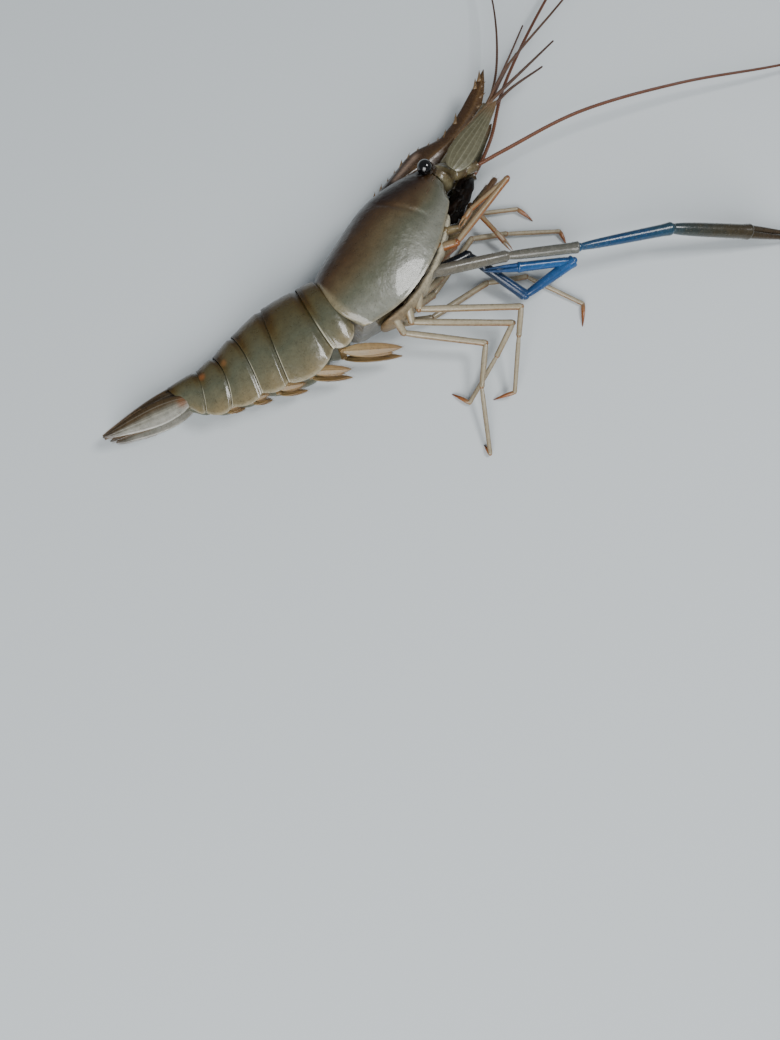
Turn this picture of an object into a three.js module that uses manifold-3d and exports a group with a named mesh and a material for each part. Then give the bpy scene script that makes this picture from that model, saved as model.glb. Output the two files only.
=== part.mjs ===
// Giant river prawn (Macrobrachium rosenbergii), life size, lying on its left side.
// Millimetres. +X points to the head, +Y to the back of the animal, +Z to its right side (up).
// The floor is z = 0. The origin is on the floor under the carapace.
import * as THREE from "three";
import { mergeVertices } from "three/addons/utils/BufferGeometryUtils.js";
import Module from "manifold-3d";

const wasm = await Module();
wasm.setup();

const GAP = 0.3;
const UP = new THREE.Vector3(0, 0, 1);
const SIDES = { R: 1, L: -1 };
const at = (x, y, z) => new THREE.Vector3(x, y, z);
const radians = THREE.MathUtils.degToRad;
const mix = THREE.MathUtils.lerp;

// Reads a value between the rows of a short table of [place, value].
function read(rows, place) {
  let low = rows[0];
  for (const high of rows) {
    if (place <= high[0]) {
      const span = high[0] - low[0];
      return span > 0 ? mix(low[1], high[1], (place - low[0]) / span) : high[1];
    }
    low = high;
  }
  return low[1];
}

// A closed skin over rings of points that all have the same count. The ends are closed with the
// given triangles, or else with a fan round the middle.
function skin(rings, ends) {
  const count = rings[0].length;
  const points = rings.flat();
  const faces = [];
  for (let r = 0; r < rings.length - 1; r += 1) {
    for (let i = 0; i < count; i += 1) {
      const a = r * count + i;
      const b = r * count + ((i + 1) % count);
      faces.push(a, b, b + count, a, b + count, a + count);
    }
  }
  for (const [ring, flip] of [[0, true], [rings.length - 1, false]]) {
    if (ends) {
      for (const [a, b, c] of ends) {
        faces.push(...[a, flip ? c : b, flip ? b : c].map((i) => ring * count + i));
      }
      continue;
    }
    const middle = rings[ring].reduce((sum, p) => sum.add(p), at(0, 0, 0)).divideScalar(count);
    const hub = points.push(middle) - 1;
    for (let i = 0; i < count; i += 1) {
      const a = ring * count + i;
      const b = ring * count + ((i + 1) % count);
      faces.push(...(flip ? [b, a, hub] : [a, b, hub]));
    }
  }
  const geometry = new THREE.BufferGeometry().setFromPoints(points);
  geometry.setIndex(faces);
  return body(geometry);
}

// A solid body from a closed geometry, turned right side out.
function body(geometry) {
  geometry.deleteAttribute("normal");
  geometry.deleteAttribute("uv");
  const merged = mergeVertices(geometry, 1e-4);
  const spots = new Float32Array(merged.attributes.position.array);
  const faces = new Uint32Array(merged.index.array);
  const corner = (i) => new THREE.Vector3().fromArray(spots, faces[i] * 3);
  let volume = 0;
  for (let i = 0; i < faces.length; i += 3) {
    volume += corner(i).dot(corner(i + 1).cross(corner(i + 2)));
  }
  if (volume < 0) {
    for (let i = 0; i < faces.length; i += 3) {
      [faces[i], faces[i + 1]] = [faces[i + 1], faces[i]];
    }
  }
  const mesh = new wasm.Mesh({ numProp: 3, vertProperties: spots, triVerts: faces });
  mesh.merge();
  return new wasm.Manifold(mesh);
}

const union = (parts) => parts.reduce((sum, part) => sum.add(part));
const without = (whole, cuts) => cuts.reduce((rest, cut) => rest.subtract(cut), whole);
const largest = (solid) => solid.decompose().sort((a, b) => b.volume() - a.volume())[0];

// Two directions across a line, the second as near to the given hint as it can be.
function across(line, hint = UP) {
  const side = new THREE.Vector3().crossVectors(line, hint);
  if (side.lengthSq() < 1e-6) side.crossVectors(line, at(0, 1, 0));
  side.normalize();
  return [side, new THREE.Vector3().crossVectors(side, line).normalize()];
}

function oval(centre, sideways, upward, wide, high, sides) {
  const ring = [];
  for (let i = 0; i < sides; i += 1) {
    const turn = (2 * Math.PI * (i + 0.5)) / sides;
    ring.push(centre.clone()
      .addScaledVector(sideways, wide * Math.cos(turn))
      .addScaledVector(upward, high * Math.sin(turn)));
  }
  return ring;
}

// How far an end ring moves outwards when a shape is grown.
const endShift = (t, grow) => (t <= 0 ? -grow : t >= 1 ? grow : 0);

// One limb segment: narrow where it starts, a little flared where it ends.
const SEGMENT_SHAPE = [[-0.02, 0.5], [0.04, 0.9], [0.88, 0.98], [0.97, 1.12], [1.01, 0.7]];
function segment(from, to, startRadius, endRadius, { sides = 6, grow = 0 } = {}) {
  const line = to.clone().sub(from);
  const along = line.clone().normalize();
  const [side, up] = across(along);
  return skin(SEGMENT_SHAPE.map(([t, k]) => {
    const radius = mix(startRadius, endRadius, Math.min(Math.max(t, 0), 1)) * k + grow;
    const spot = from.clone().addScaledVector(line, t).addScaledVector(along, endShift(t, grow));
    return oval(spot, side, up, radius, radius, sides);
  }));
}

// A flat blade such as a tail plate or a swimming leg.
const BLADE_SHAPE = [[0, 0.3], [0.08, 0.55], [0.3, 0.9], [0.6, 1], [0.85, 0.75], [0.96, 0.4], [1, 0.15]];
function blade(from, to, wide, { half, thick, sides = 10, grow = 0, shape = BLADE_SHAPE }) {
  const line = to.clone().sub(from);
  const along = line.clone().normalize();
  const [face, edge] = across(along, wide);
  return skin(shape.map(([t, k]) => oval(
    from.clone().addScaledVector(line, t).addScaledVector(along, endShift(t, grow)),
    face,
    edge,
    (thick / 2) * (0.55 + 0.45 * k) + grow,
    half * k + grow,
    sides,
  )));
}

// A feeler: a thin tapering whip along a smooth curve.
function whip(spots, startRadius, endRadius, { rings = 24, sides = 6, grow = 0 } = {}) {
  const curve = new THREE.CatmullRomCurve3(spots, false, "centripetal");
  const list = [];
  for (let i = 0; i <= rings; i += 1) {
    const t = i / rings;
    const [side, up] = across(curve.getTangentAt(t));
    const radius = mix(startRadius, endRadius, t) + grow;
    list.push(oval(curve.getPointAt(t), side, up, radius, radius, sides));
  }
  return skin(list);
}

// A spine: a slim pyramid leaning the way its tip points.
function spine(root, tip, radius) {
  const geometry = new THREE.ConeGeometry(radius, root.distanceTo(tip), 5);
  const turn = new THREE.Quaternion().setFromUnitVectors(at(0, 1, 0), tip.clone().sub(root).normalize());
  geometry.applyQuaternion(turn);
  const middle = root.clone().add(tip).multiplyScalar(0.5);
  return body(geometry.translate(middle.x, middle.y, middle.z));
}

function ball(centre, radius, detail = 2) {
  const geometry = new THREE.IcosahedronGeometry(radius, detail);
  return body(geometry.translate(centre.x, centre.y, centre.z));
}

// Everything under the floor is cut off, which leaves small flats where the animal lies.
const ROOM = { size: 700, high: 100 };
const room = body(new THREE.BoxGeometry(ROOM.size, ROOM.size, ROOM.high).translate(0, 0, ROOM.high / 2));

// The head and carapace have their own lines: u runs forward, v to the back, w to the right side.
const HEAD = { x: -17.5, y: -3, pitch: radians(12.8), z: 12.2 };
function head(u, v, w) {
  return at(
    HEAD.x + u * Math.cos(HEAD.pitch) - v * Math.sin(HEAD.pitch),
    HEAD.y + u * Math.sin(HEAD.pitch) + v * Math.cos(HEAD.pitch),
    HEAD.z + w,
  );
}

// The carapace: back line, lower margin and half width along u.
const CARAPACE = {
  rear: -1.0,
  front: 50,
  back: [[-1, 10.3], [3, 11.6], [11, 12.8], [19, 13.8], [27, 14.3], [34, 13.6], [42, 11.5], [50, 8.6]],
  margin: [[-1, -11.6], [7, -14.8], [14, -15.8], [23, -15.2], [32, -13], [39, -10], [46, -6.5], [50, -3.2]],
  half: [[-1, 10.6], [6, 12.0], [18, 12.7], [30, 12.4], [40, 10.4], [46, 8.4], [50, 6.2]],
  underside: [[0.985, 0.45], [0.955, 0], [0.925, -0.45]],
  leftEnd: 0.9,
  rings: 17,
};

// Half a body section from the middle of the back (0) to the lower edge (1): how far out the wall is.
function wall(h) {
  const widest = 0.5;
  if (h < widest) return (1 - (1 - h / widest) ** 2.3) ** (1 / 2.3);
  return 1 - 0.26 * ((h - widest) / (1 - widest)) ** 1.7;
}
const WALL_STEPS = [0, 0.035, 0.12, 0.25, 0.42, 0.6, 0.78, 0.92, 1];

// The outline of a body section as heights and shares of the half width. The underside is given,
// and fold is the height at which the left wall ends.
const FOLD_START = 0.6;
function bodyOutline(underside, fold = 1) {
  const right = WALL_STEPS.map((h) => [h, wall(h)]);
  const folded = (h) => (h > FOLD_START ? mix(FOLD_START, fold, (h - FOLD_START) / (1 - FOLD_START)) : h);
  const left = right.slice(1).reverse().map(([h, k]) => [folded(h), -k]);
  return [...right, ...underside, ...left];
}

// A ring of a body section; the line of the middle of the body and its half width are given.
function bodyRing(middle, half, centre, underside, fold) {
  return bodyOutline(underside, fold).map(([h, k]) => {
    const spot = middle(h);
    return at(spot.x, spot.y, centre + half * k);
  });
}

// The rear edge of the carapace curves forward in the middle of the side.
const rearCurve = (h) => 1.6 * Math.cos(5 * h) - 1.2;

function carapaceSolid(grow = 0) {
  const rings = [];
  const { rear, front, back, margin, half, underside, leftEnd } = CARAPACE;
  for (let i = 0; i <= CARAPACE.rings; i += 1) {
    const t = i / CARAPACE.rings;
    const u = mix(rear, front, t);
    const top = read(back, u) + grow;
    const low = read(margin, u) - grow;
    const lean = (h) => (i === 0 ? rearCurve(h) : 0);
    const place = u + endShift(t, grow);
    rings.push(bodyRing(
      (h) => head(place + lean(h), mix(top, low, h), 0),
      read(half, u) + grow,
      HEAD.z,
      underside,
      leftEnd,
    ));
  }
  return skin(rings);
}

// The underside of the chest, between the two lower margins of the carapace.
const CHEST = {
  rear: 3,
  front: 45,
  half: [[3, 6.4], [20, 6.2], [45, 4.2]],
  raise: 0.2,
  deep: 1.7,
  rim: 0.7,
  tilt: 0.12,
  rings: 8,
};
const HEAD_BACK = head(0, 1, 0).sub(head(0, 0, 0));
function chestSolid(grow = 0) {
  const rings = [];
  const side = UP.clone().addScaledVector(HEAD_BACK, -CHEST.tilt);
  for (let i = 0; i <= CHEST.rings; i += 1) {
    const t = i / CHEST.rings;
    const u = mix(CHEST.rear, CHEST.front, t) + endShift(t, grow);
    const rim = i === 0 || i === CHEST.rings ? CHEST.rim : 1;
    const middle = head(u, read(CARAPACE.margin, u) - CHEST.raise, 0);
    rings.push(oval(middle, side, HEAD_BACK, read(CHEST.half, u) * rim + grow, CHEST.deep * rim + grow, 12));
  }
  return skin(rings);
}

// A rounded block along the head's line, such as the front of the head.
function headLoft({ rear, front, v, half, high, steps }, grow) {
  const rings = [];
  for (let i = 0; i <= steps; i += 1) {
    const t = i / steps;
    const u = mix(rear, front, t) + endShift(t, grow);
    rings.push(oval(head(u, read(v, u), 0), UP, HEAD_BACK, read(half, u) + grow, read(high, u) + grow, 12));
  }
  return skin(rings);
}

// The front of the head, which carries the eyes and feelers.
const FACE = {
  rear: 50.4,
  front: 58.5,
  v: [[50, 2.6], [58.5, 1.2]],
  half: [[50, 5.6], [54, 5.4], [58.5, 3.4]],
  high: [[50, 5.1], [54, 4.8], [58.5, 2.8]],
  steps: 4,
};
const faceSolid = (grow = 0) => headLoft(FACE, grow);

// The mouthparts: a dark packed block behind the third maxillipeds.
const MOUTH = {
  rear: 43,
  front: 60,
  v: [[43, -8.4], [52, -7.2], [60, -6.2]],
  half: [[43, 3.6], [50, 5.2], [56, 4.4], [60, 1.8]],
  high: [[43, 2.2], [50, 3.5], [56, 2.9], [60, 1.1]],
  steps: 6,
};
const mouthSolid = (grow = 0) => headLoft(MOUTH, grow);

// Eyes and the stalks that carry them.
const EYE = { radius: 2.35, u: 49.6, v: 5.4, w: 7.7 };
const STALK = { u: 52.6, v: 3.6, w: 3.4, root: 1.5, end: 1.75 };
const eyeSpot = (side) => head(EYE.u, EYE.v, side * EYE.w);
const eyeSolid = (side, grow = 0) => ball(eyeSpot(side), EYE.radius + grow);
const stalkSolid = (side, grow = 0) => segment(
  head(STALK.u, STALK.v, side * STALK.w), eyeSpot(side), STALK.root, STALK.end, { sides: 8, grow },
);

// The rostrum: a toothed blade that rises from the back and sweeps up to its tip.
const ROSTRUM = {
  rear: 27,
  front: 93,
  upper: [
    [27, 13.4], [36, 14.4], [45, 14.5], [52, 14.5], [57, 13.6], [66, 10.2], [72, 10.3], [83, 12.1], [93, 14],
  ],
  lower: [
    [27, 11.0], [42, 9.0], [50, 6.5], [57, 4.7], [66, 4.8], [75, 5.5], [82, 6.9], [88, 9.9], [93, 13.6],
  ],
  half: [[27, 1.6], [45, 1.7], [58, 1.2], [70, 0.8], [93, 0.35]],
  rim: { wide: 1.15, high: 1.06 },
  rings: 16,
};
const BACK_TEETH = {
  line: ROSTRUM.upper,
  first: 35,
  last: 66.5,
  count: 10,
  lone: [72.5, 86.5, 89.5],
  long: 2.6,
  sunk: 1,
  rise: 1,
  radius: 0.62,
};
const LOWER_TEETH = {
  line: ROSTRUM.lower,
  first: 61,
  last: 88,
  count: 9,
  lone: [],
  long: 2.4,
  sunk: -0.9,
  rise: -0.9,
  radius: 0.5,
};
function teeth({ line, first, last, count, lone, long, sunk, rise, radius }) {
  const places = [...lone];
  for (let i = 0; i < count; i += 1) places.push(mix(first, last, i / (count - 1)));
  return places.map((u) => spine(
    head(u - Math.abs(sunk), read(line, u) - sunk, 0),
    head(u + long, read(line, u + long) + rise, 0),
    radius,
  ));
}
function rostrumSolid() {
  const { rear, front, upper, lower, half, rim } = ROSTRUM;
  const rings = [];
  for (let i = 0; i <= ROSTRUM.rings; i += 1) {
    const u = mix(rear, front, i / ROSTRUM.rings);
    const [top, low] = [read(upper, u), read(lower, u)];
    const high = ((top - low) / 2) * rim.high;
    rings.push(oval(head(u, (top + low) / 2, 0), UP, HEAD_BACK, read(half, u) * rim.wide, high, 8));
  }
  return union([skin(rings), ...teeth(BACK_TEETH), ...teeth(LOWER_TEETH)]);
}

// Two spines stand on each side of the carapace behind its front edge.
const CHEEK_SPINES = [{ u: 47, v: 1.2, w: 7.9, long: 3.4 }, { u: 41.5, v: -0.6, w: 9.9, long: 3.2 }];
const CHEEK = { sunk: 1.2, dip: 0.2, out: 0.35, radius: 0.65 };
function cheekSpines(side) {
  return CHEEK_SPINES.map(({ u, v, w, long }) => spine(
    head(u - CHEEK.sunk, v, side * (w - CHEEK.sunk)),
    head(u + long, v - CHEEK.dip, side * (w + CHEEK.out)),
    CHEEK.radius,
  ));
}

// The abdomen: the seams between its segments, from the chest (0) to the tail fan (6).
// Each seam has a spot on the back, one on the side and one at the lower edge.
const SEAMS = [
  { back: [-18.0, 8.7], side: [-19.2, -3.0], low: [-18.6, -12.0], half: 10.4, z: 11.6 },
  { back: [-23.9, 10.4], side: [-26.9, -3.0], low: [-27.6, -13.4], half: 10.8, z: 10.9 },
  { back: [-35.7, 12.6], side: [-40.5, -1.0], low: [-44.2, -12.8], half: 10.4, z: 10.3 },
  { back: [-48.3, 12.0], side: [-48.8, 2.2], low: [-52.0, -9.6], half: 9.0, z: 9.0 },
  { back: [-56.5, 11.3], side: [-56.8, 2.5], low: [-61.2, -6.2], half: 7.5, z: 7.6 },
  { back: [-62.6, 11.5], side: [-64.2, 5.0], low: [-68.4, -2.2], half: 6.3, z: 6.7 },
  { back: [-73.0, 13.4], side: [-72.6, 8.8], low: [-71.4, 3.0], half: 5.0, z: 5.6 },
];
const SOMITE = {
  drop: [2.4, 3.0, 1.2, 1.4, 1.4, 0.5],
  swell: 0.035,
  tuck: 0.94,
  front: 0.15,
  seam: 0.26,
  lip: 0.83,
  rise: 8,
  rings: 7,
};
// Below, the side plates hang down on either side of a channel that holds the swimming legs.
// The left plates lie on the floor and end sooner.
const CHANNEL = [[0.985, 0.56], [0.82, 0.5], [0.79, 0], [0.78, -0.5], [0.835, -0.6]];
const LEFT_PLATE_END = 0.85;

// A place in the middle plane of the abdomen: seam count and height (0 back, 1 lower edge).
function abdomenSpot(place, h) {
  const k = Math.min(Math.floor(place), SEAMS.length - 2);
  const t = place - k;
  const spot = (name, axis) => mix(SEAMS[k][name][axis], SEAMS[k + 1][name][axis], t);
  const bend = (axis) => {
    const [a, b, c] = [spot("back", axis), spot("side", axis), spot("low", axis)];
    return a * (1 - h) * (1 - 2 * h) + b * 4 * h * (1 - h) + c * h * (2 * h - 1);
  };
  return at(bend(0), bend(1), 0);
}

// The triangles that close an abdomen segment at its ends, clear of the channel.
const SOMITE_ENDS = THREE.ShapeUtils.triangulateShape(
  bodyOutline(CHANNEL, LEFT_PLATE_END).map(([h, k]) => new THREE.Vector2(-k, -2 * h)), [],
);

function somiteSolid(number, grow = 0) {
  const rings = [];
  const k = number - 1;
  for (let i = 0; i <= SOMITE.rings; i += 1) {
    const t = i / SOMITE.rings;
    const hill = Math.sin(Math.PI * t);
    const size = (t < SOMITE.front ? mix(SOMITE.tuck, 1, t / SOMITE.front) : 1) + SOMITE.swell * hill;
    const half = mix(SEAMS[k].half, SEAMS[k + 1].half, t) * size + grow;
    const z = mix(SEAMS[k].z, SEAMS[k + 1].z, t);
    const edge = i === 0 ? SOMITE.seam - grow : i === SOMITE.rings ? grow - SOMITE.seam : 0;
    const place = k + t;
    const top = abdomenSpot(place, 0);
    const low = abdomenSpot(place, 1);
    const down = low.clone().sub(top).normalize();
    const along = at(down.y, -down.x, 0);
    const reach = SOMITE.drop[k] * hill ** 0.7 - (1 - size) * 6 + grow;
    const lift = grow / low.distanceTo(top);
    const channel = CHANNEL.map(([h, k]) => [h < SOMITE.lip ? h + lift : h, k * (1 - grow / 4)]);
    const spot = (h) => abdomenSpot(place, h)
      .addScaledVector(down, h * reach - (1 - h) * (grow + (size - 1) * SOMITE.rise))
      .addScaledVector(along, edge);
    rings.push(bodyRing(spot, half, z, channel, LEFT_PLATE_END));
  }
  return skin(rings, SOMITE_ENDS);
}

// Walking legs, claws and maxillipeds. u and w give the root under the chest; each row of the
// walk is the length of a segment, the way it points seen from above and the height it ends at.
const WALKER = [1.3, 1.1, 0.95, 0.75, 0.7];
const SMALL_CLAW = [1.4, 1.05, 0.85, 0.95];
const MAXILLIPED = [1.4, 1.3, 1.35];
const LEGS = {
  leg_1_right: {
    u: 33.5, w: 3.6, radii: SMALL_CLAW,
    walk: [[5.2, -36, 18], [24.3, 11, 22], [14, 178, 19.2], [7.1, -162, 18.8]],
  },
  leg_1_left: {
    u: 33.5, w: -3.6, radii: SMALL_CLAW,
    walk: [[7.9, 9, 6.2], [15.2, 29, 6.2], [11.6, -88, 5.6], [9, -84, 3]],
  },
  leg_3_right: {
    u: 18.5, w: 3.4, radii: WALKER,
    walk: [[5.5, -131, 13.5], [31.1, -38, 13], [8.7, -134, 10.5], [17.1, -132, 3.5], [7.2, 152, 0.15]],
  },
  leg_3_left: {
    u: 21.5, w: -3.4, radii: WALKER,
    walk: [[8.9, 8, 6.2], [17.8, 37, 2.7], [8.4, 14, 2.2], [16.7, -31, 1.4], [6.4, -74, 0.1]],
  },
  leg_4_right: {
    u: 12.5, w: 3.4, radii: WALKER,
    walk: [[5.2, -111, 12.5], [31.3, -38, 9.5], [11.1, -157, 5.5], [16.5, -161, 1.2], [6.4, 109, 0.1]],
  },
  leg_4_left: {
    u: 15, w: -3.4, radii: WALKER,
    walk: [[10.9, 6, 3.9], [23.9, 18, 2.2], [11.6, -30, 1.8], [17.4, -36, 1.2], [4.7, -101, 0.1]],
  },
  leg_5_right: {
    u: 7, w: 3.4, radii: WALKER,
    walk: [[5.9, -87, 11.5], [25.3, -45, 9], [13.4, -135, 6], [20.7, -122, 1.2], [3.7, 79, 0.1]],
  },
  leg_5_left: {
    u: 8.5, w: -3.4, radii: WALKER,
    walk: [[11.7, -22, 5], [23, -3, 1.5], [13, -30, 1.3], [20.1, -67, 0.9], [7.4, -132, 0.1]],
  },
  maxilliped_right: {
    u: 38.5, w: 3.4, radii: MAXILLIPED, blunt: 0.7,
    walk: [[5.1, -26, 15.4], [11.2, 16, 15.4], [9.1, 18, 15]],
  },
  maxilliped_left: {
    u: 38.5, w: -3.4, radii: MAXILLIPED, blunt: 0.7,
    walk: [[5.9, -4, 9.6], [10.8, 19, 9.6], [7.8, 17, 9.4]],
  },
};
const CLAWS = {
  right: {
    u: 25, w: 3.4, radii: [1.9, 1.7, 1.85, 2.3],
    walk: [[24.7, -24, 13.2], [21.9, -35, 15], [30.4, -26, 13], [27.8, -35, 7]],
    finger: [25.1, -36, 0.15], fingerRadius: 1.3,
  },
  left: {
    u: 28, w: -2.2, radii: [1.8, 1.7, 1.85, 1.6],
    walk: [[13, -9, 8.6], [22, -72, 4.5], [18, -7, 9], [18.1, 149, 10]],
    finger: [11, 148, 10.8], fingerRadius: 0.85,
  },
};
const SEGMENT_END = 0.9;
const TIP_END = 0.3;
const HIP = 1.12;

// The joints of a limb in order, the root first.
function joints(limb) {
  const list = [head(limb.u, read(CARAPACE.margin, limb.u) - 0.6, limb.w)];
  for (const row of limb.walk) list.push(step(list.at(-1), row));
  return list;
}
function step(from, [long, way, high]) {
  const turn = radians(way);
  const flat = Math.sqrt(Math.max(long ** 2 - (high - from.z) ** 2, 0.01));
  return at(from.x + flat * Math.cos(turn), from.y + flat * Math.sin(turn), high);
}

function legSolid(limb, grow = 0) {
  const spots = joints(limb);
  const parts = [ball(spots[0], limb.radii[0] * HIP + grow, 1)];
  for (let i = 1; i < spots.length; i += 1) {
    const last = i === spots.length - 1;
    const start = limb.radii[i - 1];
    const end = start * (last ? limb.blunt ?? TIP_END : SEGMENT_END);
    parts.push(segment(spots[i - 1], spots[i], start, end, { grow }));
  }
  return union(parts);
}

// A big claw comes in four pieces: arm, wrist, palm with its fixed finger, and the moving finger.
const CLAW = {
  hip: 1.1,
  narrow: 0.8,
  wide: 1.05,
  wrist: [0.72, 1.08],
  palm: 0.85,
  fingerGap: 0.2,
  tipGap: 0.42,
  tip: 0.3,
};
function clawPieces(claw, grow = 0) {
  const spots = joints(claw);
  const tip = step(spots[4], claw.finger);
  const line = tip.clone().sub(spots[4]).normalize();
  const [side] = across(line);
  const [upperArm, lowerArm, wrist, palm] = claw.radii;
  const run = (index, start, end) => segment(spots[index], spots[index + 1], start, end, { sides: 10, grow });
  const finger = (way) => {
    const radius = claw.fingerRadius;
    const root = spots[4].clone()
      .addScaledVector(side, way * (radius + CLAW.fingerGap))
      .addScaledVector(line, -radius);
    const end = tip.clone().addScaledVector(side, way * CLAW.tipGap);
    return segment(root, end, radius, CLAW.tip, { sides: 8, grow });
  };
  return {
    arm: union([
      ball(spots[0], upperArm * CLAW.hip + grow, 1),
      run(0, upperArm, lowerArm),
      run(1, lowerArm * CLAW.narrow, lowerArm * CLAW.wide),
    ]),
    wrist: run(2, wrist * CLAW.wrist[0], wrist * CLAW.wrist[1]),
    palm: union([run(3, palm * CLAW.palm, palm), finger(-1)]),
    finger: finger(1),
  };
}

// Swimming legs: a short stem and two slim blades under each of the first five abdomen segments.
// The blades lie along the lower edge and point forward.
const PADDLES = {
  way: [-36.5, -38, -32, -28, -25],
  stem: [5.8, 4.3, 3.7, 3.4, 2.8],
  stemWay: -110,
  stemRadii: [1.2, 1.1],
  blade: [17.6, 12.1, 8.6, 5.8, 5.4],
  half: [1.9, 1.5, 1.4, 1.2, 1.0],
  place: [0.5, 1.5, 2.45, 3.45, 4.45],
  root: 0.79,
  w: 0.24,
  dip: 0.6,
  thick: 0.8,
  shape: [[0, 0.4], [0.3, 1], [0.65, 0.85], [1, 0.12]],
  pair: [{ turn: 0, rise: 0.4, size: 1 }, { turn: -4, rise: -1.1, size: 0.84 }],
};
function paddleSolid(number, side, grow = 0) {
  const k = number - 1;
  const root = abdomenSpot(PADDLES.place[k], PADDLES.root);
  const half = mix(SEAMS[k].half, SEAMS[k + 1].half, 0.5);
  root.z = mix(SEAMS[k].z, SEAMS[k + 1].z, 0.5) + side * half * PADDLES.w;
  const knee = step(root, [PADDLES.stem[k], PADDLES.stemWay, root.z + side * PADDLES.dip]);
  const parts = [segment(root, knee, ...PADDLES.stemRadii, { sides: 6, grow })];
  for (const { turn, rise, size } of PADDLES.pair) {
    const tip = step(knee, [PADDLES.blade[k] * size, PADDLES.way[k] + turn, knee.z + rise * side]);
    const sizes = { half: PADDLES.half[k] * size, thick: PADDLES.thick, shape: PADDLES.shape };
    parts.push(blade(knee, tip, at(0.5, 1, 0.5 * side), { ...sizes, sides: 6, grow }));
  }
  return union(parts);
}

// The tail fan: the telson in the middle and two plates on each side of it.
const TAIL = {
  telson: { from: [-71.5, 12.2, 5.8], to: [-97, 13.9, 5.9], wide: [0, 0.1, 1], half: 2.4, thick: 3.6 },
  outer_right: { from: [-70.6, 5.0, 10.4], to: [-96, 12.2, 9.3], wide: [0.2, 1, 0.2], half: 3.6, thick: 1.0 },
  inner_right: { from: [-71.2, 9.0, 9.0], to: [-97, 13.2, 7.9], wide: [0.1, 1, 0.2], half: 2.5, thick: 0.8 },
  outer_left: { from: [-70.6, 6.2, 1.5], to: [-95.6, 12.6, 0.5], wide: [0.2, 1, 0], half: 3.4, thick: 1.0 },
  inner_left: { from: [-71.2, 9.2, 2.8], to: [-96.6, 13.4, 2.1], wide: [0.1, 1, 0], half: 2.5, thick: 0.8 },
};
const TAIL_SHAPE = [[0, 0.5], [0.12, 0.82], [0.34, 1], [0.56, 0.86], [0.78, 0.55], [0.93, 0.3], [1, 0.14]];
function tailSolid(name, grow = 0) {
  const { from, to, wide, half, thick } = TAIL[name];
  return blade(at(...from), at(...to), at(...wide), { half, thick, sides: 12, grow, shape: TAIL_SHAPE });
}

// Feelers: the antennules with three lashes each, and the long antennae with their scales.
const LASH_START = 0.82;
const ANTENNULE = {
  root: [55.5, 3.0, 2.0],
  elbow: [67, 3.4, 2.6],
  end: [81, 4.6, 2.9],
  radii: [1.7, 1.9, 1.35],
};
const LASHES = {
  right: [
    { path: [[73.3, 21.2, 14.4], [93.8, 24.1, 13]], radii: [0.65, 0.3] },
    { path: [[74.2, 25.4, 15], [98, 31, 14.4], [121.6, 36.5, 12], [141, 38, 7]], radii: [0.5, 0.22] },
    { path: [[72, 24.4, 17.4], [86, 31.5, 18.6]], radii: [0.5, 0.25] },
  ],
  left: [
    { path: [[72, 21.2, 10.4], [88, 21.6, 8.6]], radii: [0.65, 0.3] },
    { path: [[74, 29, 11], [91.1, 49.8, 9], [99, 66, 6]], radii: [0.5, 0.22] },
    { path: [[72, 25.0, 10.6], [84, 30.4, 9.4]], radii: [0.5, 0.25] },
  ],
};
const ANTENNA = {
  root: [55.0, -1.6, 4.2], end: [62.7, -5.0, 2.2], radii: [2.3, 1.7],
  right: [
    [56, 5.1, 12.8], [84, 0.2, 12], [118, -11.8, 9], [151.5, -27, 5], [186, -41, 1.6], [222, -47, 0.35],
  ],
  left: [
    [57.6, 12.6, 8.7], [74, 24.6, 7.6], [104.8, 39.8, 6], [140, 53, 4], [182, 62, 1.2], [214, 63, 0.35],
  ],
  thick: [0.62, 0.26],
};
const SCALE = {
  root: [54.6, -1.2, 7.1],
  tip: [82.5, 2.2, 5.4],
  tilt: 0.2,
  half: 4.3,
  thick: 1.0,
  shape: [
    [0, 0.5], [0.08, 0.78], [0.2, 0.98], [0.36, 0.94], [0.55, 0.74], [0.76, 0.47], [0.92, 0.26], [1, 0.08],
  ],
};
function scaleSolid(side, grow = 0) {
  const [root, tip] = [SCALE.root, SCALE.tip].map(([u, v, w]) => head(u, v, side * w));
  const wide = HEAD_BACK.clone().addScaledVector(UP, SCALE.tilt * side);
  const { half, thick, shape } = SCALE;
  return blade(root, tip, wide, { half, thick, shape, sides: 10, grow });
}
function antennuleSolid(side, lashes) {
  const spot = ([u, v, w]) => head(u, v, side * w);
  const [root, elbow, end] = [ANTENNULE.root, ANTENNULE.elbow, ANTENNULE.end].map(spot);
  const [r0, r1, r2] = ANTENNULE.radii;
  const parts = [segment(root, elbow, r0, r1), segment(elbow, end, r2, r2)];
  for (const { path, radii } of lashes) {
    const spots = [elbow.clone().lerp(end, LASH_START), end, ...path.map((p) => at(...p))];
    parts.push(whip(spots, ...radii, { rings: path.length * 3, sides: 5 }));
  }
  return union(parts);
}
const antennaSpots = (side) => [ANTENNA.root, ANTENNA.end].map(([u, v, w]) => head(u, v, side * w));
function antennaBase(side, grow = 0) {
  const [root, end] = antennaSpots(side);
  return segment(root, end, ANTENNA.radii[0], ANTENNA.radii[1], { sides: 9, grow });
}
function antennaLash(side, path) {
  const [root, end] = antennaSpots(side);
  const spots = [root.lerp(end, LASH_START), end, ...path.map((p) => at(...p))];
  return whip(spots, ...ANTENNA.thick, { rings: 30, sides: 6 });
}

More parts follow.
